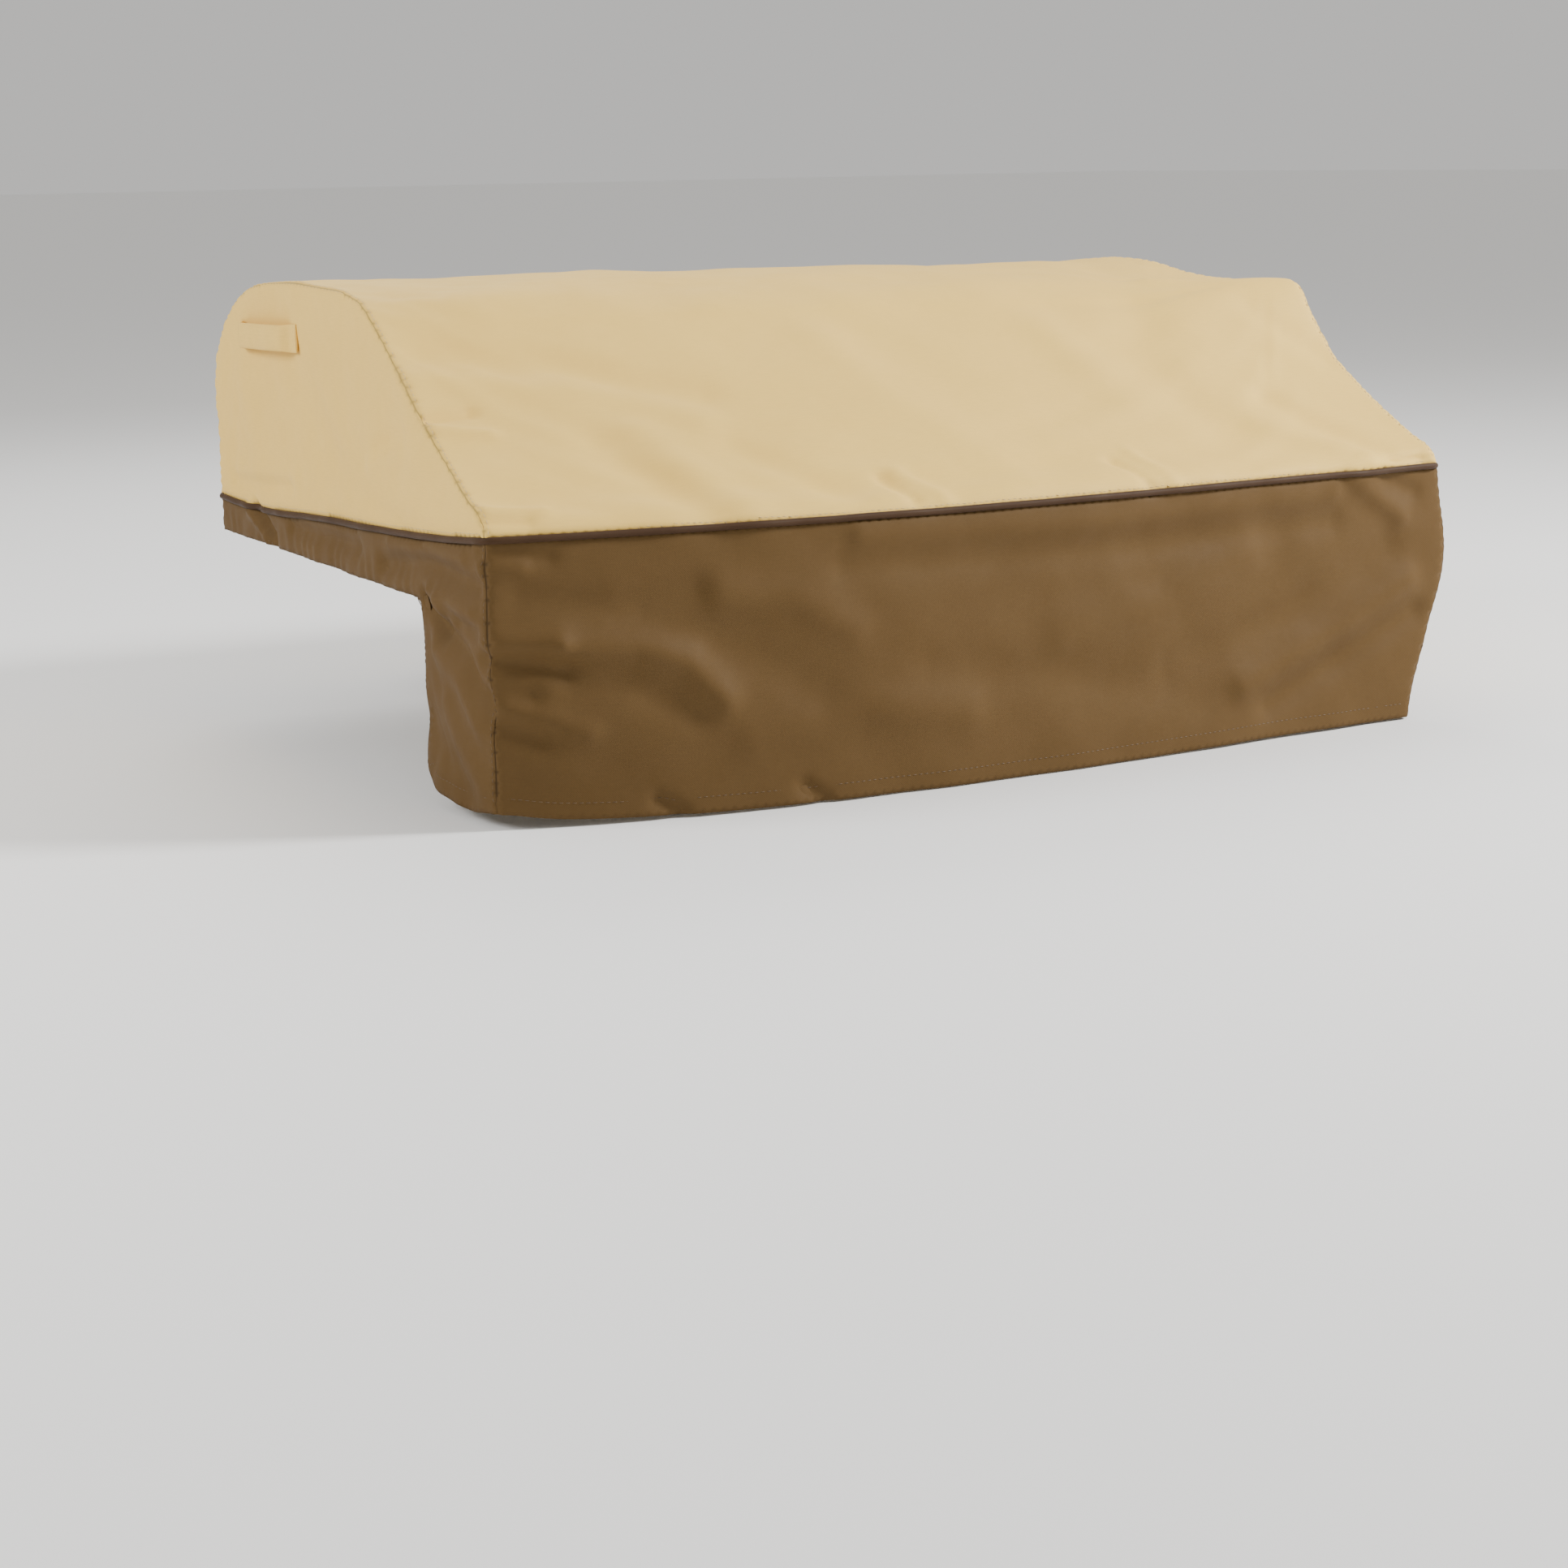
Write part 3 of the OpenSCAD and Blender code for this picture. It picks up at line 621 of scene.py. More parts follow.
def sweep(name, path, outward, section, closed=False):
    """A section swept along path. Section points are (across the seam, out of the cloth)."""
    path, outward = np.asarray(path), np.asarray(outward)
    tangent = directions(path, closed)
    out = unit(outward - (outward * tangent).sum(1, keepdims=True) * tangent)
    across = np.cross(tangent, out)
    section = np.asarray(section)
    m, n = len(section), len(path)
    points = (path[:, None] + across[:, None] * section[None, :, :1]
              + out[:, None] * section[None, :, 1:]).reshape(-1, 3)
    length = knots_of(np.vstack([path, path[:1]]))
    round_it = knots_of(np.vstack([section, section[:1]]))
    faces, uv = [], []
    for i in range(n if closed else n - 1):
        for j in range(m):
            k = (j + 1) % m
            faces.append((i * m + j, i * m + k, (i + 1) % n * m + k, (i + 1) % n * m + j))
            uv += [(length[i], round_it[j]), (length[i], round_it[j + 1]),
                   (length[i + 1], round_it[j + 1]), (length[i + 1], round_it[j])]
    if not closed:
        for ring in (list(range(m))[::-1], [(n - 1) * m + j for j in range(m)]):
            faces.append(ring)
            uv += [tuple(section[j % m]) for j in ring]
    mesh = new_mesh(name, points, faces, uv)
    faced_out(mesh)
    return new_object(name, mesh)


def circle(r, count, middle=(0, 0)):
    turn = np.arange(count) * 2 * math.pi / count
    return np.column_stack([middle[0] + r * np.cos(turn), middle[1] + r * np.sin(turn)])


def rounded_box(w, h, r, middle=(0, 0)):
    ends = []
    for k, (sx, sy) in enumerate([(1, 1), (-1, 1), (-1, -1), (1, -1)]):
        for a in np.linspace(k * math.pi / 2, (k + 1) * math.pi / 2, 4):
            ends.append((middle[0] + sx * (w / 2 - r) + r * math.cos(a),
                         middle[1] + sy * (h / 2 - r) + r * math.sin(a)))
    return np.array(ends)


def resample(path, spacing):
    knots = knots_of(path)
    return spline(path, knots, np.linspace(0, knots[-1], evenly(knots[-1], spacing)))


class Surface:
    """The finished cloth, for finding places on it."""

    def __init__(self, mesh):
        self.points = coordinates(mesh.vertices)
        self.normals = coordinates(mesh.vertex_normals, "vector")
        self.tree = BVHTree.FromPolygons([tuple(p) for p in self.points],
                                         [tuple(f.vertices) for f in mesh.polygons])

    def inside(self, place, out):
        """The innermost cloth near a place: the lowest of a few hits going inward."""
        found = [self.tree.ray_cast(Vector(place + out * 0.06 + np.array([0, 0, dz])), Vector(-out))[0]
                 for dz in (-0.006, 0, 0.006)]
        depth = [(np.array(hit) - place) @ out for hit in found if hit is not None]
        return place + out * min(min(depth, default=0.0), 0.0)

    def along(self, ids, spacing):
        """Evenly spaced places along a row of points, and the way out of the cloth at each."""
        knots = knots_of(self.points[ids])
        t = np.linspace(0, knots[-1], evenly(knots[-1], spacing))
        soft = windowed(self.normals[ids], 2)
        out = np.column_stack([np.interp(t, knots, soft[:, k]) for k in range(3)])
        return spline(self.points[ids], knots, t), unit(out)


def stitches(name, panel, rows):
    """Rows of thread on a panel: each row is a path near it, put on its surface."""
    tree = BVHTree.FromObject(panel, bpy.context.evaluated_depsgraph_get())
    points, faces, uv = [], [], []
    ring = circle(1.0, 6)
    for row in rows:
        knots = knots_of(row)
        for k in range(int(knots[-1] / STITCH_PITCH)):
            ends = spline(row, knots, np.array([k * STITCH_PITCH, k * STITCH_PITCH + STITCH]))
            a, normal, _, _ = tree.find_nearest(Vector(ends[0]))
            b, _, _, _ = tree.find_nearest(Vector(ends[1]))
            a, b, n = np.array(a), np.array(b), np.array(normal)
            t = unit(b - a)
            side = np.cross(t, n)
            first = len(points)
            for share, r, lift in ((0.0, 0.00010, -0.0002), (0.18, 0.00034, 0.00012),
                                   (0.82, 0.00034, 0.00012), (1.0, 0.00010, -0.0002)):
                middle = a + (b - a) * share + n * lift
                points += [middle + r * (side * c[0] + n * c[1]) for c in ring]
            for i in range(3):
                for j in range(6):
                    m = (j + 1) % 6
                    faces.append((first + i * 6 + j, first + i * 6 + m, first + i * 6 + 6 + m,
                                  first + i * 6 + 6 + j))
            faces.append(tuple(first + j for j in range(5, -1, -1)))
            faces.append(tuple(first + 18 + j for j in range(6)))
    mesh = new_mesh(name, points, faces)
    smooth(mesh)
    return new_object(name, mesh)


# ---------------------------------------------------------------- materials
def material(name, colour, rough):
    """A new material with its node tree and shader."""
    made = bpy.data.materials.new(name)
    made.use_nodes = True
    shader = made.node_tree.nodes["Principled BSDF"]
    shader.inputs["Base Color"].default_value = (*colour, 1)
    shader.inputs["Roughness"].default_value = rough
    return made, made.node_tree, shader


def feed(tree, made, links):
    """Links a node's inputs to sockets, or sets them."""
    for name, source in links.items():
        if isinstance(source, bpy.types.NodeSocket):
            tree.links.new(source, made.inputs[name])
        else:
            made.inputs[name].default_value = source


def node(tree, kind, links=(), **values):
    """A node with its settings, and its inputs linked or set."""
    made = tree.nodes.new(kind)
    for key, value in values.items():
        setattr(made, key, value)
    feed(tree, made, dict(links))
    return made


def flat_place(tree):
    return node(tree, "ShaderNodeUVMap", uv_map="flat").outputs[0]


def body_place(tree):
    return node(tree, "ShaderNodeTexCoord").outputs["Object"]


def noise(tree, where, scale, detail=3.0, rough=0.55):
    return node(tree, "ShaderNodeTexNoise",
                {"Vector": where, "Scale": scale, "Detail": detail, "Roughness": rough}).outputs[0]


def mapped(tree, value, low, high, to_low, to_high):
    return node(tree, "ShaderNodeMapRange",
                {"Value": value, "From Min": low, "From Max": high, "To Min": to_low,
                 "To Max": to_high}).outputs[0]


def maths(tree, operation, a, b=0.0):
    return node(tree, "ShaderNodeMath", {0: a, 1: b}, operation=operation).outputs[0]


def tinted(tree, share, a, b):
    return node(tree, "ShaderNodeMix", {"Factor": share, 6: (*a, 1), 7: (*b, 1)}, data_type="RGBA").outputs[2]


def multiplied(tree, vector, value):
    return node(tree, "ShaderNodeVectorMath", {0: vector, "Scale": value}, operation="SCALE").outputs[0]


def bump(tree, height, strength, distance, under=()):
    return node(tree, "ShaderNodeBump", {"Height": height, "Strength": strength, "Distance": distance,
                                         **dict(under)}).outputs[0]


def weave(tree, where, pitch):
    """Plain weave, from 0 to 1: warp and weft threads pass over one another in turn."""
    parts = node(tree, "ShaderNodeSeparateXYZ", {0: multiplied(tree, where, math.pi / pitch)})
    warp = maths(tree, "SINE", parts.outputs[0])
    weft = maths(tree, "SINE", parts.outputs[1])
    over = maths(tree, "MULTIPLY", warp, weft)
    threads = maths(tree, "MAXIMUM", maths(tree, "ABSOLUTE", warp), maths(tree, "ABSOLUTE", weft))
    return maths(tree, "ADD", maths(tree, "MULTIPLY", over, 0.35), maths(tree, "MULTIPLY", threads, 0.65))


def cloth_material(name, light, dark, rough, pitch=0.0011, sheen=0.03, crumple=0.22, shine=0.22):
    made, tree, shader = material(name, light, rough)
    flat, body = flat_place(tree), body_place(tree)
    threads = weave(tree, flat, pitch)
    stretched = node(tree, "ShaderNodeMapping", {"Vector": flat, "Scale": (60, 900, 1)}).outputs[0]
    slub = noise(tree, stretched, 1.0, 2.0)
    cloud = noise(tree, body, 5.0, 4.0)
    patch = noise(tree, body, 26.0, 5.0, 0.6)
    share = maths(tree, "ADD", maths(tree, "MULTIPLY", mapped(tree, cloud, 0.35, 0.65, 0, 1), 0.6),
                  maths(tree, "MULTIPLY", mapped(tree, patch, 0.35, 0.65, 0, 1), 0.4))
    weave_tone_and_seam_shade = maths(tree, "ADD", mapped(tree, threads, 0, 1, 0.93, 1.03),
                  mapped(tree, slub, 0.3, 0.7, -0.03, 0.03))
    # Painted shade: where the seam attribute marks a sewn edge, the colour is darkened to 45%, standing in
    # for the shadow in the seam's groove.
    seam = node(tree, "ShaderNodeAttribute", attribute_name="seam").outputs["Fac"]
    weave_tone_and_seam_shade = maths(tree, "MULTIPLY", weave_tone_and_seam_shade, mapped(tree, seam, 0.55, 1.0, 1.0, 0.45))
    soft = bump(tree, noise(tree, body, 16.0, 4.0, 0.5), crumple, 0.004)
    feed(tree, shader, {
        "Base Color": multiplied(tree, tinted(tree, share, light, dark), weave_tone_and_seam_shade),
        "Roughness": mapped(tree, patch, 0.3, 0.7, rough - 0.06, rough + 0.08),
        "Sheen Weight": sheen, "Sheen Roughness": 0.5, "Specular IOR Level": shine,
        "Normal": bump(tree, threads, 0.5, 0.00016, {"Normal": soft})})
    return made


def coating_material(name, light, dark):
    """The cloth's inner face: a thin water-proof coat over the weave."""
    made, tree, shader = material(name, light, 0.42)
    threads = weave(tree, flat_place(tree), 0.0011)
    cloud = noise(tree, body_place(tree), 9.0, 5.0)
    feed(tree, shader, {
        "Base Color": tinted(tree, mapped(tree, cloud, 0.3, 0.7, 0, 1), light, dark),
        "Roughness": mapped(tree, cloud, 0.3, 0.7, 0.34, 0.5),
        "Normal": bump(tree, threads, 0.25, 0.0001)})
    return made


def braid_material(name, light, dark):
    made, tree, shader = material(name, light, 0.75)
    turned = node(tree, "ShaderNodeMapping",
                  {"Vector": flat_place(tree), "Rotation": (0, 0, math.radians(45))})
    threads = weave(tree, turned.outputs[0], 0.0009)
    feed(tree, shader, {"Base Color": tinted(tree, threads, dark, light),
                        "Normal": bump(tree, threads, 0.7, 0.0002)})
    return made


def hard_material(name, light, dark, rough, metal=0.0, grain=900.0):
    """Moulded plastic, foam or metal: worn a little lighter or darker, with a fine grain."""
    made, tree, shader = material(name, light, rough)
    body = body_place(tree)
    cloud = noise(tree, body, 60.0, 4.0)
    feed(tree, shader, {
        "Base Color": tinted(tree, mapped(tree, cloud, 0.35, 0.65, 0, 1), light, dark),
        "Roughness": mapped(tree, cloud, 0.3, 0.7, rough - 0.06, rough + 0.1),
        "Metallic": metal,
        "Normal": bump(tree, noise(tree, body, grain, 2.0), 0.25, 0.0001)})
    return made


TAN_CLOTH = cloth_material("tan_polyester", (0.840, 0.552, 0.134), (0.805, 0.526, 0.124), 0.66)
BROWN_CLOTH = cloth_material("brown_polyester", (0.106, 0.060, 0.020), (0.098, 0.055, 0.018), 0.66,
                             sheen=0.01, shine=0.12)
PIPING_CLOTH = cloth_material("piping_polyester", (0.050, 0.022, 0.006), (0.040, 0.017, 0.005), 0.66)
TAPE = cloth_material("binding_tape", (0.105, 0.062, 0.028), (0.086, 0.050, 0.022), 0.70, pitch=0.0008)
TAN_INSIDE = coating_material("tan_coating", (0.46, 0.40, 0.30), (0.40, 0.34, 0.25))
BROWN_INSIDE = coating_material("brown_coating", (0.085, 0.062, 0.040), (0.068, 0.048, 0.030))
TAN_THREAD, _, _ = material("tan_thread", (0.62, 0.46, 0.24), 0.5)
BROWN_THREAD, _, _ = material("brown_thread", (0.105, 0.062, 0.026), 0.5)
CORD = braid_material("elastic_braid", (0.030, 0.030, 0.032), (0.008, 0.008, 0.009))
FILLER = braid_material("piping_filler", (0.75, 0.73, 0.68), (0.62, 0.60, 0.55))
BRASS = hard_material("eyelet_brass", (0.50, 0.36, 0.16), (0.42, 0.29, 0.12), 0.30, metal=1.0)
BLACK = hard_material("moulded_black", (0.018, 0.018, 0.019), (0.026, 0.026, 0.027), 0.42)
STEEL = hard_material("spring_steel", (0.52, 0.52, 0.54), (0.44, 0.44, 0.46), 0.28, metal=1.0)
FOAM = hard_material("white_foam", (0.78, 0.76, 0.70), (0.70, 0.68, 0.62), 0.9, grain=1500.0)

# ---------------------------------------------------------------- the draped cover
HANDLE_LOW, HANDLE_HIGH = box_of("right_handle_tabs")
HANDLE_MID = (HANDLE_LOW + HANDLE_HIGH) / 2

cover = sew()
cut = np.array(cover.points)
whole = sewn_object(cover, pulled(cut))
round_it = whole.modifiers.new("round", "SUBSURF")
round_it.levels = round_it.render_levels = 1
drawn = coordinates(evaluated(whole).vertices)
round_it.show_viewport = False
set_coordinates(whole.data, drape(whole, cut, hold_weights(cover, cut)))
round_it.show_viewport = True
fine = evaluated(whole)
bpy.data.objects.remove(whole)
settled = coordinates(fine.vertices)
set_coordinates(fine, folded(settled, coordinates(fine.vertex_normals, "vector"), drawn))
surface = Surface(fine)


def panel_object(name, index, sewn, normals, sunk):
    """One panel cut from the sewn cover, its sewn edges drawn in by the stitches."""
    work = bmesh.new()
    work.from_mesh(sewn)
    work.verts.ensure_lookup_table()
    mark = work.verts.layers.float.new("sewn")
    for i in sunk:
        work.verts[i].co -= Vector(normals[i]) * SEAM_SINK
        work.verts[i][mark] = 1.0
    others = [f for f in work.faces if f.material_index != index]
    bmesh.ops.delete(work, geom=others, context="FACES")
    mesh = bpy.data.meshes.new(name)
    for face in work.faces:
        face.material_index = 0
        face.smooth = True
    work.verts.index_update()
    sewn_edge = [v.index for v in work.verts if v[mark] > 0.5]
    work.to_mesh(mesh)
    work.free()
    # The seam attribute marks the sewn edge, where the cloth material paints a shade line for the seam
    # groove's shadow.
    near = mesh.attributes.new("seam", "FLOAT", "POINT")
    for i in sewn_edge:
        near.data[i].value = 1.0
    outer, inner = (TAN_CLOTH, TAN_INSIDE) if PANELS[name] == TAN else (BROWN_CLOTH, BROWN_INSIDE)
    mesh.materials.append(outer)
    mesh.materials.append(inner)
    made = new_object(name + "_cloth", mesh)
    shell = made.modifiers.new("thickness", "SOLIDIFY")
    shell.thickness = CLOTH
    shell.offset = -1
    shell.material_offset = 1
    shell.material_offset_rim = 0
    shell.use_even_offset = False
    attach(made, "cover")
    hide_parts(name)
    return made


def seam_points(mesh):
    """Points where two panels meet."""
    seen = {}
    for face in mesh.polygons:
        for v in face.vertices:
            seen.setdefault(v, set()).add(face.material_index)
    return [v for v, found in seen.items() if len(found) > 1]


sunk = seam_points(fine)
panels = {}
for index, name in enumerate(PANELS):
    panels[name] = panel_object(name, index, fine, surface.normals, sunk)


# ---------------------------------------------------------------- piping, tapes, hem and cord
def finish_piece(thing, finish, slot, *nodes, body="cover"):
    thing.data.materials.append(finish)
    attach(thing, body)
    if nodes:
        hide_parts(*nodes)
    return thing


def joined(*names):
    """Seam runs end to end; a minus sign runs one backwards."""
    ids = []
    for name in names:
        row = cover.runs[name.lstrip("-")]
        row = row[::-1] if name[0] == "-" else row
        ids += [i for i in row if not ids or i != ids[-1]]
    return ids


def make_piping():
    """The piping and its filler, one loop round the cover that is cut at the middle of the back."""
    back = joined("back_piping")
    half = len(back) // 2
    loop = (back[half:] + joined("-right_piping") + joined("-front_piping") + joined("left_piping")
            + back[:half + 1])
    ids = [a for a, b in zip(loop, loop[1:] + [None]) if a != b]
    path, out = surface.along(ids, 0.006)
    path = path + out * (PIPING_R * 0.40) + out * (0.0004 * ripple(path, 0.030, SEED + 4))[:, None]
    path[3:-3] = np.mean([path[3 + k:len(path) - 3 + k] for k in range(-2, 3)], axis=0)
    piping = sweep("piping_cloth_tube", path, out, circle(PIPING_R, 16))
    finish_piece(piping, PIPING_CLOTH, "piping_cloth", "piping_cover")
    filler = sweep("piping_filler_cord", path, out, circle(FILLER_R, 10))
    finish_piece(filler, FILLER, "elastic", "piping_filler")


def make_tape(side, sign, seam):
    """The binding tape inside a side seam or a front corner, standing in from the stitches."""
    path, out = (row[2:-2] for row in surface.along(cover.runs[f"{side}_{seam}"], 0.008))
    if seam == "corner":
        out = np.tile(unit(np.array([sign, -1.0, 0.0])), (len(path), 1))
    else:
        out = unit(np.cross(np.tile([float(sign), 0.0, 0.0], (len(path), 1)), directions(path)))
        out *= np.sign((out * (path - np.array([0, 0.05, 0.05]))).sum(1))[:, None]
        out = unit(out + np.array([sign, 0, 0]))
    tape = sweep(f"{side}_{seam}_binding_tape", path - out * TAPE_DEPTH, out,
                 rounded_box(TAPE_THICK, TAPE_WIDE, 0.001, (0, -TAPE_WIDE / 2)))
    finish_piece(tape, TAPE, "binding_tape", f"{side}_{seam}_binding")


def make_casing():
    """The casing along the foot of the back and sides, which holds the elastic cord."""
    path, out = surface.along(joined("-left_counter_hem", "back_hem", "right_counter_hem"), 0.008)
    kept = (path[:, 1] > NOTCH_Y + 0.012) & (path[:, 2] > -0.012)
    path, out = path[kept], unit(out[kept] * np.array([1, 1, 0]))
    path[:, 2] = CASING_H / 2
    path = np.array([surface.inside(p, o) for p, o in zip(path, out)])
    casing = sweep("hem_casing_sleeve", windowed(path, 2) - out * 0.0050, out,
                   rounded_box(CASING_H - 0.001, 0.0062, 0.0025))
    finish_piece(casing, BROWN_CLOTH, BROWN, "hem_casing")


def make_turned_hem():
    """The front drop's hem, turned up inside it."""
    path, out = surface.along(joined("left_counter_hem", "left_return_hem", "front_hem",
                                     "-right_return_hem", "-right_counter_hem"), 0.008)
    kept = path[:, 1] < NOTCH_Y + 0.004
    path, out = path[kept], out[kept]
    up = unit(np.cross(out, directions(path)))
    up *= np.sign((up * (np.array([0, -0.40, -0.05]) - path)).sum(1))[:, None]
    turned = sweep("front_hem_turning", path + up * (HEM_BAND / 2) - out * 0.0022, out,
                   rounded_box(HEM_BAND, 0.0012, 0.0005))
    finish_piece(turned, BROWN_CLOTH, BROWN)


def make_cord(side, sign):
    """Half the elastic cord: from the notch through the casing to the lock, clear of the cloth."""
    low, high = box_of(f"{side}_elastic_cord")
    exit_x = sign * EXIT_X
    inner_y = BACK_Y - CORD_INSET
    start_y = NOTCH_Y + 0.016
    corner_x = sign * (half_width(inner_y) - CORD_INSET)
    rows = [(sign * (half_width(start_y) - CORD_INSET), start_y), (corner_x, inner_y - CORD_BEND)]
    rows += [(corner_x - sign * CORD_BEND * (1 - math.cos(a)), inner_y - CORD_BEND + CORD_BEND * math.sin(a))
             for a in np.linspace(0.3, math.pi / 2, 5)]
    rows += [(exit_x + sign * EXIT_BEND * (1 - math.sin(a)), inner_y + EXIT_BEND * (1 - math.cos(a)))
             for a in np.linspace(0, math.pi / 2, 5)]
    rows += [(exit_x, high[1])]
    route = resample(np.column_stack([rows, np.full(len(rows), (low[2] + high[2]) / 2)]), 0.003)
    outward = np.cross(directions(route), [0.0, 0.0, float(sign)])
    loose = np.abs(route[:, 0]) > 0.030
    deep = loose * np.array([(p - surface.inside(p + o * CORD_INSET, o)) @ o + CORD_INSET
                             for p, o in zip(route, outward)])
    route -= outward * (windowed(windowed(deep, 4, np.max), 4) * loose)[:, None]
    cord = sweep(f"{side}_elastic_cord_braid", route, np.tile([0.0, 0.0, 1.0], (len(route), 1)),
                 circle(CORD_R, 12))
    finish_piece(cord, CORD, "elastic", f"{side}_elastic_cord")


make_piping()
for side, sign in SIDES:
    for seam in ("seam", "corner"):
        make_tape(side, sign, seam)
make_casing()
make_turned_hem()
for side, sign in SIDES:
    make_cord(side, sign)


# ---------------------------------------------------------------- handles
def handle(side, sign):
    """A padded strap between two sewn tabs, in a front and a back half that meet in the middle."""
    low, high = box_of(f"{side}_handle_tabs")
    mid_y, mid_z = (low[1] + high[1]) / 2, (low[2] + high[2]) / 2
    half_length = (high[1] - low[1]) / 2
    wide = high[2] - low[2]
    tab_end = half_length - TAB_LONG
    along = np.linspace(-half_length, half_length, STRAP_ROWS)
    lift = smoothstep(tab_end + 0.002, tab_end - 0.012, np.abs(along))
    padding = smoothstep(tab_end - 0.004, tab_end - 0.022, np.abs(along))
    bow = 0.0012 * np.cos(along / half_length * math.pi / 2)
    y = mid_y + along
    cloth_x = np.array([abs(surface_x(sign, yy, mid_z)) for yy in y])
    depth = TAB_THICK + (STRAP_THICK - TAB_THICK + bow) * padding
    x = cloth_x + 0.0004 + depth / 2 + lift * (STRAP_LIFT - 0.0004)
    height = wide * (1 - 0.05 * lift + 0.03 * (1 - lift))
    z = mid_z - 0.0022 * along / half_length
    middle_row = STRAP_ROWS // 2
    around = np.arange(STRAP_RING + 1) * (wide * 2.2) / STRAP_RING
    for part, away, first, last in (("front", -1, 0, middle_row), ("back", 1, middle_row, STRAP_ROWS - 1)):
        points, faces, uv = [], [], []
        for k in range(first, last + 1):
            for a, b in ring_of(height[k], depth[k], STRAP_RING):
                crown = 1 - (2 * a / height[k]) ** 2
                points.append((sign * (x[k] + b * (0.72 + 0.28 * crown)), y[k], z[k] + a))
        for i in range(last - first):
            s0, s1 = along[first + i], along[first + i + 1]
            for j in range(STRAP_RING):
                low_j, high_j = i * STRAP_RING + j, i * STRAP_RING + (j + 1) % STRAP_RING
                faces.append((low_j, high_j, high_j + STRAP_RING, low_j + STRAP_RING))
                uv += [(s0, around[j]), (s0, around[j + 1]), (s1, around[j + 1]), (s1, around[j])]
        outer_ring = 0 if part == "front" else (last - first) * STRAP_RING
        faces.append([outer_ring + j for j in range(STRAP_RING)])
        uv += [(0.0, 0.0)] * STRAP_RING
        mesh = new_mesh(f"{side}_handle_strap_{part}", points, faces, uv)
        faced_out(mesh)
        mesh.materials.append(TAN_CLOTH)
        strap = new_object(mesh.name, mesh)
        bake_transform(strap)
        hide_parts(f"{side}_handle_sleeve", f"{side}_handle_tabs")
    core = np.column_stack([sign * x, y, z])[np.abs(along) < 0.059]
    foam = sweep(f"{side}_handle_core", core, np.tile([float(sign), 0.0, 0.0], (len(core), 1)),
                 rounded_box(wide * 0.72, STRAP_THICK * 0.50, 0.0015))
    finish_piece(foam, FOAM, "foam", f"{side}_handle_foam", body=f"{side}_handle")


def ring_of(w, h, count):
    """A flat oval with square-ish corners, as (up, out) points."""
    turn = (np.arange(count) + 0.5) * 2 * math.pi / count
    c, s = np.cos(turn), np.sin(turn)
    return np.column_stack([w / 2 * np.sign(c) * np.abs(c) ** 0.45, h / 2 * np.sign(s) * np.abs(s) ** 0.7])


def surface_x(sign, y, z):
    """Where the side panel's outer face is, at that place along and up."""
    hit, _, _, _ = surface.tree.ray_cast(Vector((sign * 1.0, y, z)), Vector((-sign, 0, 0)))
    return hit.x if hit is not None else sign * half_width(y)


for side, sign in SIDES:
    handle(side, sign)


# ---------------------------------------------------------------- topstitching
def offset_row(panel, ids, gap):
    """A row of points on a panel, gap away from the seam that runs through ids."""
    path = resample(surface.points[ids], 0.006)
    tangent = directions(path)
    middle = Vector(coordinates(panel.data.vertices).mean(axis=0))
    tree = BVHTree.FromObject(panel, bpy.context.evaluated_depsgraph_get())
    found = []
    for p, t in zip(path, tangent):
        _, normal, _, _ = tree.find_nearest(Vector(p) + (middle - Vector(p)).normalized() * gap)
        inward = np.cross(np.array(normal), t)
        inward *= np.sign(inward @ (np.array(middle) - p))
        place, _, _, _ = tree.find_nearest(Vector(p + inward * gap))
        found.append(tuple(place))
    return np.array(found)


rows_of = {name: [] for name in PANELS}
for side in ("left", "right"):
    rows_of["centre_panel"].append((cover.runs[f"{side}_seam"], 0.005))
    rows_of[f"{side}_side_panel"].append((cover.runs[f"{side}_piping"], 0.007))
    rows_of[f"{side}_side_skirt"].append((cover.runs[f"{side}_counter_hem"], 0.017))
    rows_of[f"{side}_side_skirt"].append((cover.runs[f"{side}_return_hem"], 0.016))
    rows_of[f"{side}_side_skirt"].append((cover.runs[f"{side}_corner"], 0.005))
rows_of["centre_panel"].append((cover.runs["front_piping"], 0.007))
rows_of["centre_panel"].append((cover.runs["back_piping"], 0.007))
rows_of["front_skirt"].append((cover.runs["front_hem"], 0.016))
rows_of["back_skirt"].append((cover.runs["back_hem"], 0.019))
for name, rows in rows_of.items():
    thread = TAN_THREAD if PANELS[name] == TAN else BROWN_THREAD
    made = stitches(name + "_stitching", panels[name],
                    [offset_row(panels[name], ids, gap)[1:-1] for ids, gap in rows])
    finish_piece(made, thread, PANELS[name])

# ---------------------------------------------------------------- hardware from the frame
for node_name, finish in (("left_eyelet", BRASS), ("right_eyelet", BRASS), ("cord_lock_body", BLACK),
                          ("cord_lock_button", BLACK), ("cord_end_stop", BLACK), ("cord_lock_spring", STEEL)):
    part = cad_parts[node_name]
    part.data.materials.clear()
    part.data.materials.append(finish)

coil = new_object("lock_spring_coil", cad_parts["cord_lock_spring"].data.copy())
coil.matrix_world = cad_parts["cord_lock_spring"].matrix_world
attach(coil, "cord_lock")
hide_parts("cord_lock_spring")
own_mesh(coil)

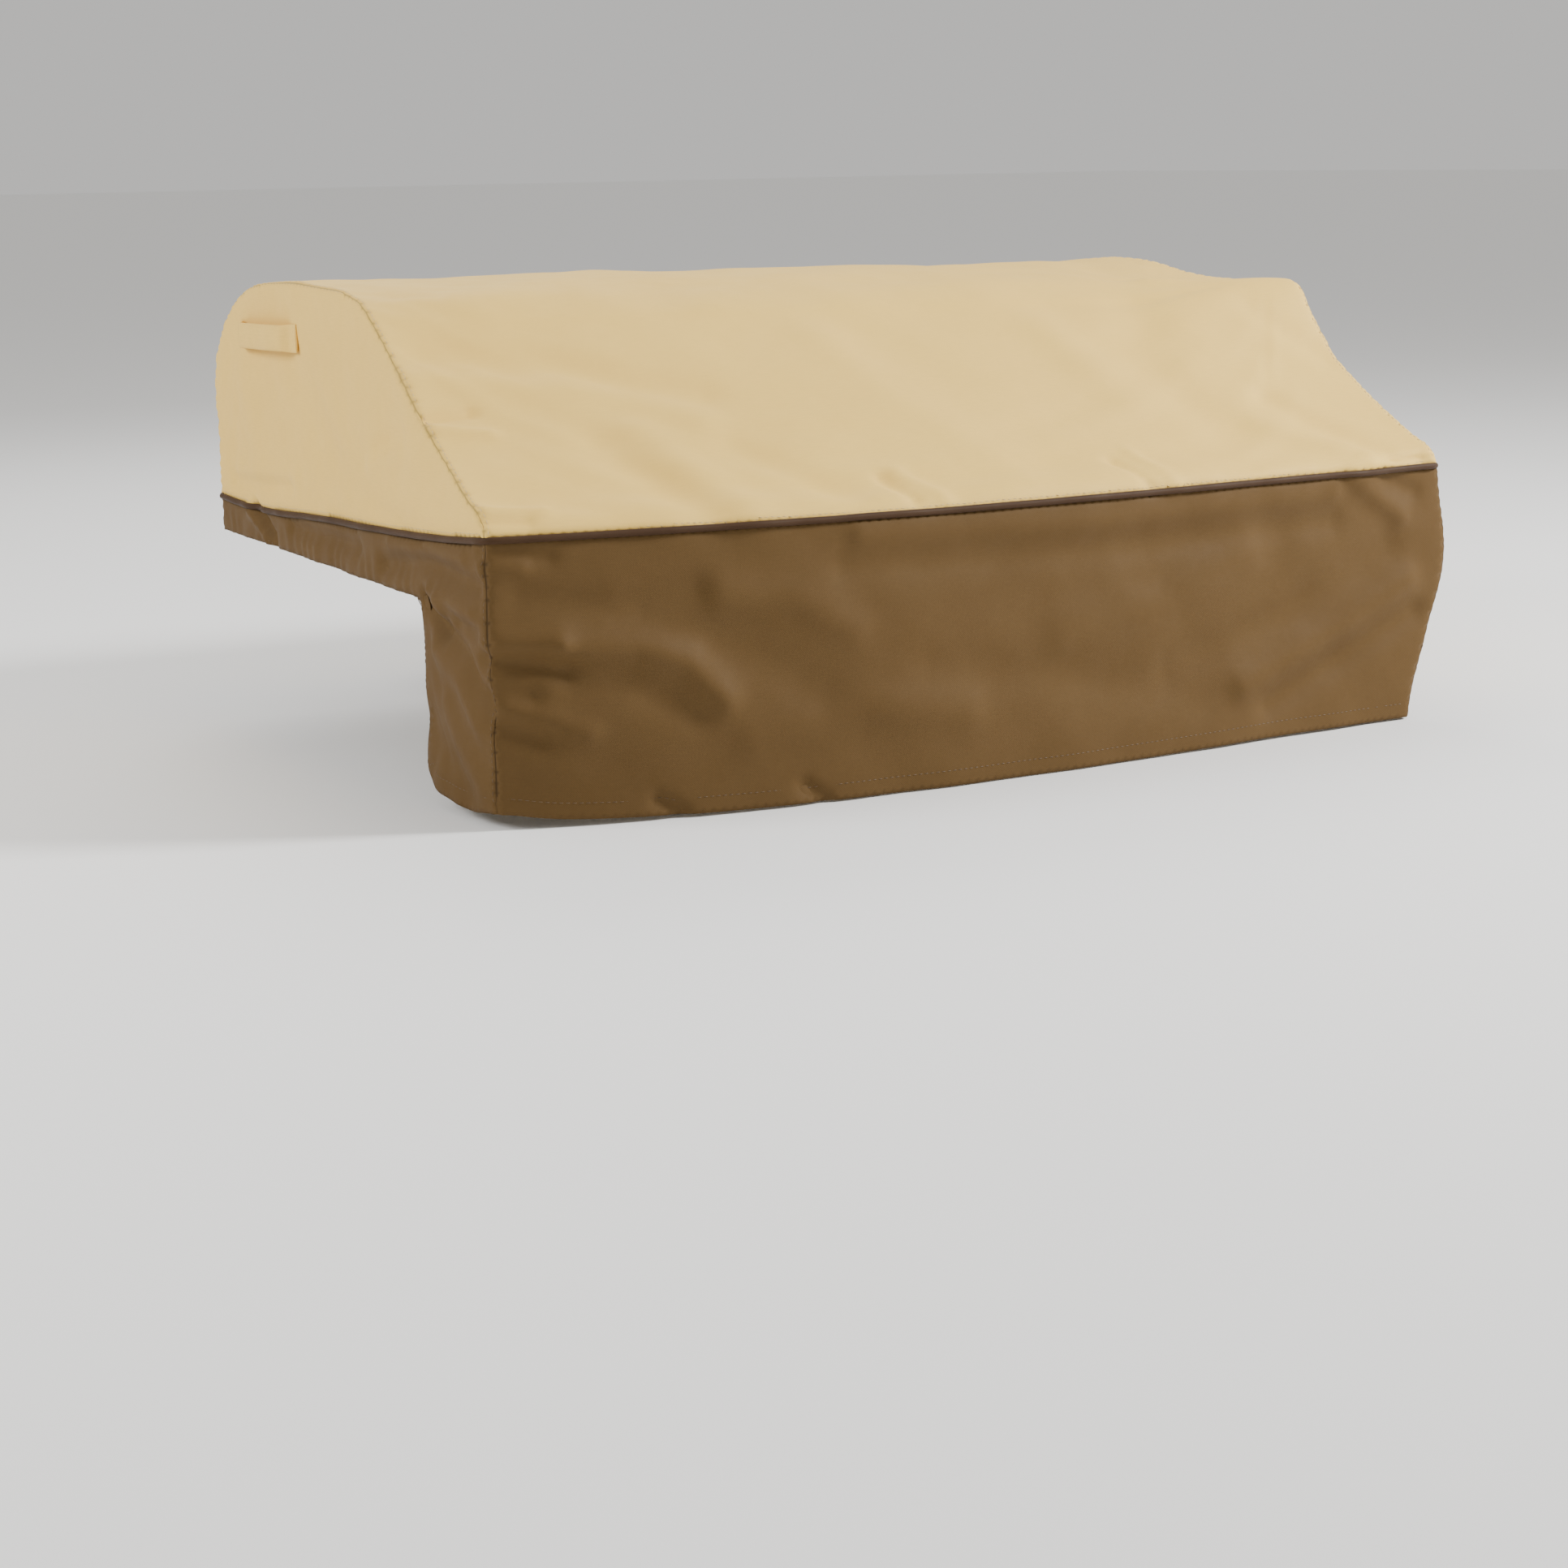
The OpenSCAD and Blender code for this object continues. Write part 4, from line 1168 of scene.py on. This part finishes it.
# ---------------------------------------------------------------- camera, light and floor
CAMERA_AT = (-1.62224, -3.06799, 0.42732)
CAMERA_AZIMUTH, CAMERA_ELEVATION, CAMERA_ROLL = -27.235, 11.648, -0.97
CAMERA_LENS = 70.66


def make_camera():
    a, e, r = (math.radians(v) for v in (CAMERA_AZIMUTH, CAMERA_ELEVATION, CAMERA_ROLL))
    back = Vector((math.sin(a) * math.cos(e), -math.cos(a) * math.cos(e), math.sin(e)))
    right = (-back).cross(Vector((0, 0, 1))).normalized()
    up = right.cross(-back)
    across = right * math.cos(r) + up * math.sin(r)
    upward = up * math.cos(r) - right * math.sin(r)
    data = bpy.data.cameras.new("camera")
    data.lens = CAMERA_LENS
    data.sensor_width = 36
    camera = bpy.data.objects.new("camera", data)
    bpy.context.scene.collection.objects.link(camera)
    turn = Matrix((across, upward, back)).transposed().to_4x4()
    camera.matrix_world = Matrix.Translation(Vector(CAMERA_AT)) @ turn
    bpy.context.scene.camera = camera


def softbox(name, at, size, watts, aim=(0, 0, 0)):
    light = bpy.data.lights.new(name, "AREA")
    light.shape = "DISK"
    light.size = size
    light.energy = watts
    lamp = bpy.data.objects.new(name, light)
    bpy.context.scene.collection.objects.link(lamp)
    lamp.location = at
    lamp.rotation_euler = (Vector(aim) - Vector(at)).to_track_quat("-Z", "Y").to_euler()


def make_stage():
    world = bpy.data.worlds.new("studio")
    bpy.context.scene.world = world
    world.use_nodes = True
    world.node_tree.nodes["Background"].inputs["Color"].default_value = (1.0, 0.985, 0.96, 1)
    world.node_tree.nodes["Background"].inputs["Strength"].default_value = 0.62
    low = HEM_Z - 0.006
    corners = [(-40, -40, low), (40, -40, low), (40, 60, low), (-40, 60, low)]
    floor = new_object("floor", new_mesh("floor", corners, [(0, 1, 2, 3)]))
    paint, _, _ = material("floor_paint", (0.92, 0.915, 0.90), 0.7)
    floor.data.materials.append(paint)
    softbox("key", (3.1, -2.0, 2.3), 1.0, 300, aim=(0.2, -0.2, 0))
    softbox("side", (-3.2, 0.2, 1.8), 1.6, 84)
    softbox("rim", (0.4, 2.8, 2.4), 1.8, 40)


make_camera()
make_stage()
